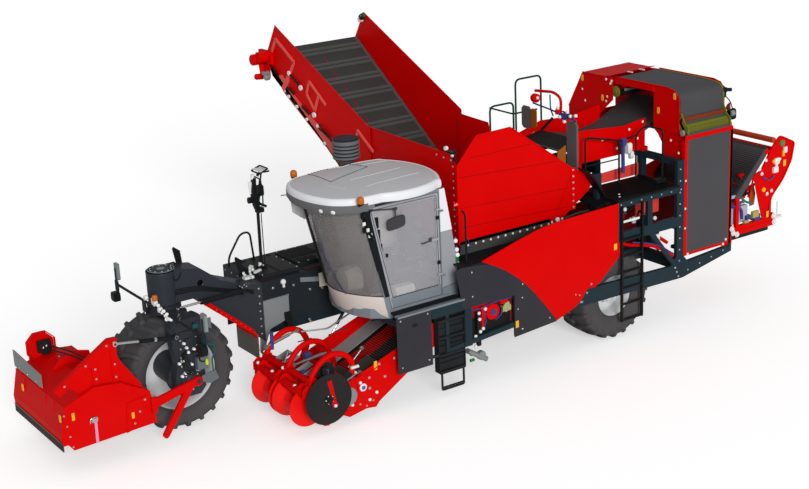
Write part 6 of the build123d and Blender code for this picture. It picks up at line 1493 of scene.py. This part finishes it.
frame_bits += [strip(0.020, 0.014, [(-9338, 1430, 3570), (-9338, 1430, 4130), (-9338, 1330, 4240),
        (-9338, 1150, 4280), (-9338, -250, 4280)], (1, 0, 0)),
    bar((-10300, 1560, 3480), (-10490, 1600, 3500), 60, 80, cut=0.2),
    box(-9340, -9310, 1150, 1430, 3490, 3520)]
piece("panel_frame", frame_bits, red)
piece("shoulder_motor", [sweep_round([(0, 0), (44, 0), (48, 10), (48, 90), (34, 96), (34, 200),
        (24, 206), (0, 210)], (-10430, 1420, 4110), (-1, 0.15, -0.12), 24),
        box(-10520, -10470, 1400, 1440, 3960, 4090, 0.2),
        tube([(-10500, 1440, 3980), (-10560, 1500, 3900), (-10560, 1560, 3760)], 10, 60)], black)
piece("panel_post", [box(-10500, -10440, 1560, 1650, 1180, 3420, 0.1)], teal)
piece("panel_frame_bolts", [bolts_at(15, 11, [(-9312, 1653, z) for z in (2660, 2140, 1770)], (0, 1, 0)),
        bolts_at(19, 14, [(-10370, 1648, 1330), (-9390, 1648, 1262), (-10300, 1648, 1252)], (0, 1, 0)),
        bolts_at(18, 15, [(-9280, 1500, z) for z in (2900, 3150)] + [(-9280, 1300, 3350)], (1, 0, 0))],
    white_plastic)
drum = [sweep_round([(0, 0), (88, 0), (94, 8), (94, 1010), (88, 1018), (0, 1018)], (-10390, 1545, 3570),
        (1, 0, 0), 36), slab([(1425, 3480), (1655, 3500), (1660, 3620), (1560, 3700), (1480, 3860),
        (1425, 3860)], "x", -9372, -9352)]
drum += [slab([(1425, 3480), (1655, 3500), (1660, 3620), (1560, 3700), (1480, 3860), (1425, 3860)], "x",
        -10430, -10410)]
piece("wiper_roller", drum, olive)
# Low dark olive dots over the roller stand for its holes: painted shade in the recesses.
hole_shade_dots = [bolts_at(9, 3, [(x + (20 if k % 2 else 0), 1545 + 95 * math.cos(a), 3570 + 95 * math.sin(a))
        for x in range(-10360, -9400, 44)], (0, math.cos(a), math.sin(a))) for k,
    a in enumerate(np.radians([-28, -12, 4, 20, 36]))]
piece("roller_holes", hole_shade_dots, finish("olive_hole_painted_shade", (70, 72, 22), rough=0.5))
piece("brown_wiper", [box(-10420, -9352, 1466, 1500, 3700, 3770, 0.2),
        slab([(1470, 3740), (1600, 3770), (1590, 3900), (1540, 3860)], "x", -10470, -10440)],
    finish("wiper_brown", (126, 50, 20), rough=0.5, vary=0.12))
side = [box(-9330, -9290, 1520, 1600, 3470, 3540, 0.3),
    knob((-9310, 1560, 3530), 30, 44, 24, 50, (1, 0, 0), 20),
    sweep_round([(0, 0), (50, 0), (56, 10), (56, 60), (0, 64)], (-10420, 1545, 3570), (-1, 0, 0), 24),
    box(-10560, -10470, 1540, 1640, 3640, 3740, 0.3)]
piece("wiper_bearings", side, grey_sheet)
tops = [sweep_round([(0, 0), (84, 0), (84, 60), (60, 66), (60, 260), (46, 274), (0, 276)],
        (-10440, 1180, 4060), (-1, 0, 0), 28), box(-10620, -10470, 1500, 1600, 3560, 3760, 0.3)]
piece("belt_motor", tops, black)
piece("shoulder_edge", [strip(0.016, 0.03, np.insert(shoulder, 0, -10432, axis=1), (1, 0, 0))], olive)

# ---------------------------------------------------------------- cleaning unit at the tail
# Red plates round a steep dark web, an orange-brown cross tube, valve blocks, lamps
# and couplings on the curved end plate, and a bolted lower beam with rubber below.
coat("cleaning_unit", red)
tube_brown = finish("brown_tube", (178, 58, 26), rough=0.42, vary=0.10)
piece("tail_tube", [rod((-11640, -540, 2985), (-11640, 1606, 2985), 0.055, 24, (0, 0, 1)),
        slab([(-10900, 1500), (-11080, 1500), (-11150, 2150), (-10950, 2150)], "y", 1180, 1192)],
    tube_brown)
piece("tail_web", rod_web((-10640, 2110), (-11480, 2900), -540, 1600, 40, 9, 14),
    finish("tail_web_grey", (58, 57, 58), rough=0.55, vary=0.15))
rimmed = [(-11110, 2405), (-11300, 2465), (-11620, 2905), (-11790, 3052), (-12185, 2862),
    (-12115, 2522), (-11900, 2190), (-11600, 1905), (-11520, 1600)]
piece("tail_edges", [strip(0.02, 0.04, np.insert(rounded(rimmed, 60, 4), 1, 1618, axis=1), (0, 1, 0)),
        box(-11680, -10450, 1560, 1650, 1330, 1440, 0.2),
        box(-10560, -10440, 1540, 1640, 1330, 1560, 0.2),
        bar((-11120, 1600, 2400), (-11000, 1600, 2000), 60, 20),
        box(-11700, -11560, 1480, 1640, 1440, 1560, 0.2),
        slab([(-11640, 1420), (-11640, 1900), (-11500, 1900), (-11440, 1420)], "y", 1560, 1590)], red)
tail_white = [bolts_at(26, 18, [(-11260, 1625, 2500), (-11320, 1625, 2400), (-11420, 1625, 2640),
        (-11600, 1622, 2020), (-11480, 1622, 1980)], (0, 1, 0)),
    bolts_at(40, 34, [(-10520, 1652, 1500), (-10560, 1652, 1410), (-10660, 1652, 1360),
        (-11660, 1652, 1400), (-11640, 1652, 1520)], (0, 1, 0)),
    box(-11760, -11640, 1624, 1660, 2520, 2640, 0.3), box(-11720, -11600, 1624, 1670, 2360, 2480, 0.3),
    box(-11960, -11880, 1624, 1660, 2700, 2820, 0.3), tube([(-11640, 1650, 2420), (-11700, 1660, 2560),
        (-11780, 1650, 2620)], 24, 60), box(-11080, -10940, 1560, 1600, 2230, 2340, 0.3),
    box(-11900, -11700, 1560, 1640, 1440, 1480, 0.3), tube([(-11800, 1600, 1480), (-11800, 1600, 1700),
        (-11790, 1600, 1760)], 12, 30), bar((-10600, 1500, 1560), (-10850, 1500, 1640), 60, 40,
        cut=0.3)]
piece("tail_fittings", tail_white, white_plastic, sharp=50)
drum = [sweep_round([(0, 40), (60, 40), (60, 20), (150, 20), (170, 0), (170, -420), (0, -420)],
        (-10930, 1500, 2130), (0, 1, 0), 36), box(-11120, -10860, 1440, 1500, 2400, 2440, 0.2),
    tube([(-10880, 1480, 2420), (-10960, 1520, 2300), (-11080, 1500, 2260)], 16, 50)]
piece("tail_drum", drum, red)
piece("tail_drum_wheel", [sweep_round([(0, 60), (30, 60), (34, 50), (84, 46), (92, 34), (84, 24),
        (34, 22), (0, 22)], (-10930, 1500, 2130), (0, 1, 0), 28),
        box(-11010, -10900, 1470, 1510, 1960, 2010, 0.3)], black)
piece("tail_brown_plate", [slab([(-11080, 2240), (-11200, 2300), (-11290, 2000), (-11260, 1790),
        (-11140, 1780)], "y", 1500, 1508)], finish("tail_plate_brown", (156, 72, 26), rough=0.5,
        vary=0.15))
piece("tail_teal_arm", [tube([(-10860, 1500, 2040), (-11000, 1530, 1900), (-11160, 1540, 1840)], 22,
        60), box(-10980, -10880, 1490, 1530, 1880, 1930, 0.2)],
    finish("tail_teal", (38, 112, 116), rough=0.45))
piece("tail_green_lamp", [sweep_round([(0, 0), (60, 0), (60, 24), (40, 36), (0, 38)],
        (-11840, 1622, 2900), (0, 1, 0), 24)], finish("tail_green", (60, 140, 70), rough=0.35))
piece("tail_yellow", [sheet(-11900, -11970, 2440, 2560, "y", 1621, 1626),
        sheet(-11440, -11500, 1530, 1650, "y", 1652, 1658),
        box(-11640, -11590, 1624, 1650, 2560, 2620, 0.2),
        box(-11900, -11850, 1624, 1650, 2640, 2760, 0.2),
        sweep_round([(0, 0), (46, 0), (40, 20), (0, 22)], (-11380, 1622, 2080), (0, 1, 0), 20)],
    yellow)
piece("tail_blue_parts", [tube([(-10520, 1560, 1950), (-10700, 1570, 1860), (-10860, 1570, 1800),
        (-10880, 1560, 1600)], 30, 90), box(-10800, -10700, 1540, 1600, 1800, 1960, 0.3),
        box(-11340, -11180, 1540, 1600, 1470, 1620, 0.3),
        box(-11080, -10980, 1540, 1600, 1560, 1640, 0.3),
        tube([(-11330, 1640, 2330), (-11500, 1650, 2240), (-11640, 1640, 2300)], 14, 60)], blue)
piece("tail_grey_box", [box(-11050, -10560, 1440, 1540, 1520, 1840, 0.1),
        box(-10760, -10540, 1560, 1590, 2050, 2110, 0.2)],
    finish("box_grey", (168, 170, 186), rough=0.45, vary=0.08))
dark = [box(-11560, -10520, 1400, 1600, 1240, 1330, 0.2),
    tube([(-10560, 1560, 2660), (-10620, 1580, 2480), (-10720, 1580, 2260)], 18, 60),
    tube([(-10560, 1560, 2060), (-10640, 1570, 1990), (-10700, 1570, 2040)], 24, 40),
    box(-10560, -10480, 1500, 1580, 1940, 2060, 0.2), tube([(-11150, 1600, 2240), (-11060, 1610, 2120),
        (-10900, 1600, 2060), (-10740, 1580, 2050)], 18, 80)]
piece("tail_dark_parts", dark, black)
piece("tail_valve", [box(-11280, -11120, 1560, 1620, 1560, 1700, 0.3),
        box(-11020, -10900, 1560, 1620, 1500, 1560, 0.3)],
    finish("tail_olive_valve", (168, 160, 92), rough=0.45, vary=0.2))

# ---------------------------------------------------------------- sieving channels
# Rod webs between red walls under the bunker and on to the tail, open to let the
# soil through; the rods are set close along each side run.
coat("sieve_channel", finish("channel_red", (120, 12, 12), rough=0.45, vary=0.12, dirt=0.18))
webs = rod_web((-4560, 1118), (-6560, 1352), 84, 1488, 44, 8, 6) + rod_web((-4520, 1006), (-5400, 838),
    84, 1488, 44, 8, -8) + rod_web((-6780, 1500), (-10180, 1892), -533, 533, 44, 8, 8)
piece("channel_rods", webs, web_steel)

# ---------------------------------------------------------------- front lamp unit
# Outrigger bar with teal hangers and plates each side, an amber lamp and white
# fittings on the kingpin head between them.
LAMP_Y = (-1530, 1530)
hangers = []
for y in LAMP_Y:
    hangers += [tube([(330, y, 1900), (330, y, 2425)], 21),
        tube([(330, y - 60, 2040), (330, y - 60, 2210), (330, y + 60, 2210), (330, y + 60, 2040),
            (330, y - 60, 2040)], 9, 20)]
piece("lamp_hangers", hangers, teal, "steering_leg")
faces = [box(425, 434, y - 60, y + 60, 1895, 2005, 0.2)
    for y in LAMP_Y] + [sheet(y - 55, y + 55, 2240, 2490, "x", 325, 329) for y in LAMP_Y]
piece("lamp_housings", [box(318, 424, y - 79, y + 79, 1876, 2024, 0.25) for y in LAMP_Y], black,
    "steering_leg")
piece("lamp_plate_backs", [box(281, 324, y - 69, y + 69, 2226, 2504, 0.1) for y in LAMP_Y], grey_sheet,
    "steering_leg")
piece("lamp_faces", faces[:2], black, "steering_leg")
piece("lamp_marker_plates", faces[2:], grey_paint, "steering_leg")
bits = [knob(c, 22, 26, 16, 30, (0.6, 0.6, 0.4), 16) for c in ((345, 60, 2230), (350, 130, 2190),
        (345, 190, 2150), (350, 250, 2190), (345, 300, 2130), (350, 360, 2170), (345, 420, 2110),
        (345, 480, 2120), (350, 330, 2080))]
bits += [box(320, 345, 0, 500, 2120, 2150, 0.2), box(315, 345, -200, -60, 2180, 2290, 0.2)]
bits += [knob((330, -420, 2220), 34, 38, 26, 44, (1, 0, 0), 20),
    box(300, 360, -110, -50, 2180, 2270, 0.3), box(300, 360, 40, 110, 2120, 2200, 0.3),
    box(300, 360, 300, 360, 2070, 2150, 0.3), bolts_at(12, 10, [(346, -540, 1960), (346, -460, 1960)],
        (1, 0, 0)), tube([(330, -500, 2175), (330, -430, 2200)], 10)]
piece("lamp_bar_fittings", bits, white_plastic, "steering_leg")
piece("lamp_bar_amber", [sweep_round([(0, 0), (44, 0), (46, 60), (36, 84), (0, 90)], (330, -80, 2270),
        (0, 0, 1), 24)], amber, "steering_leg")
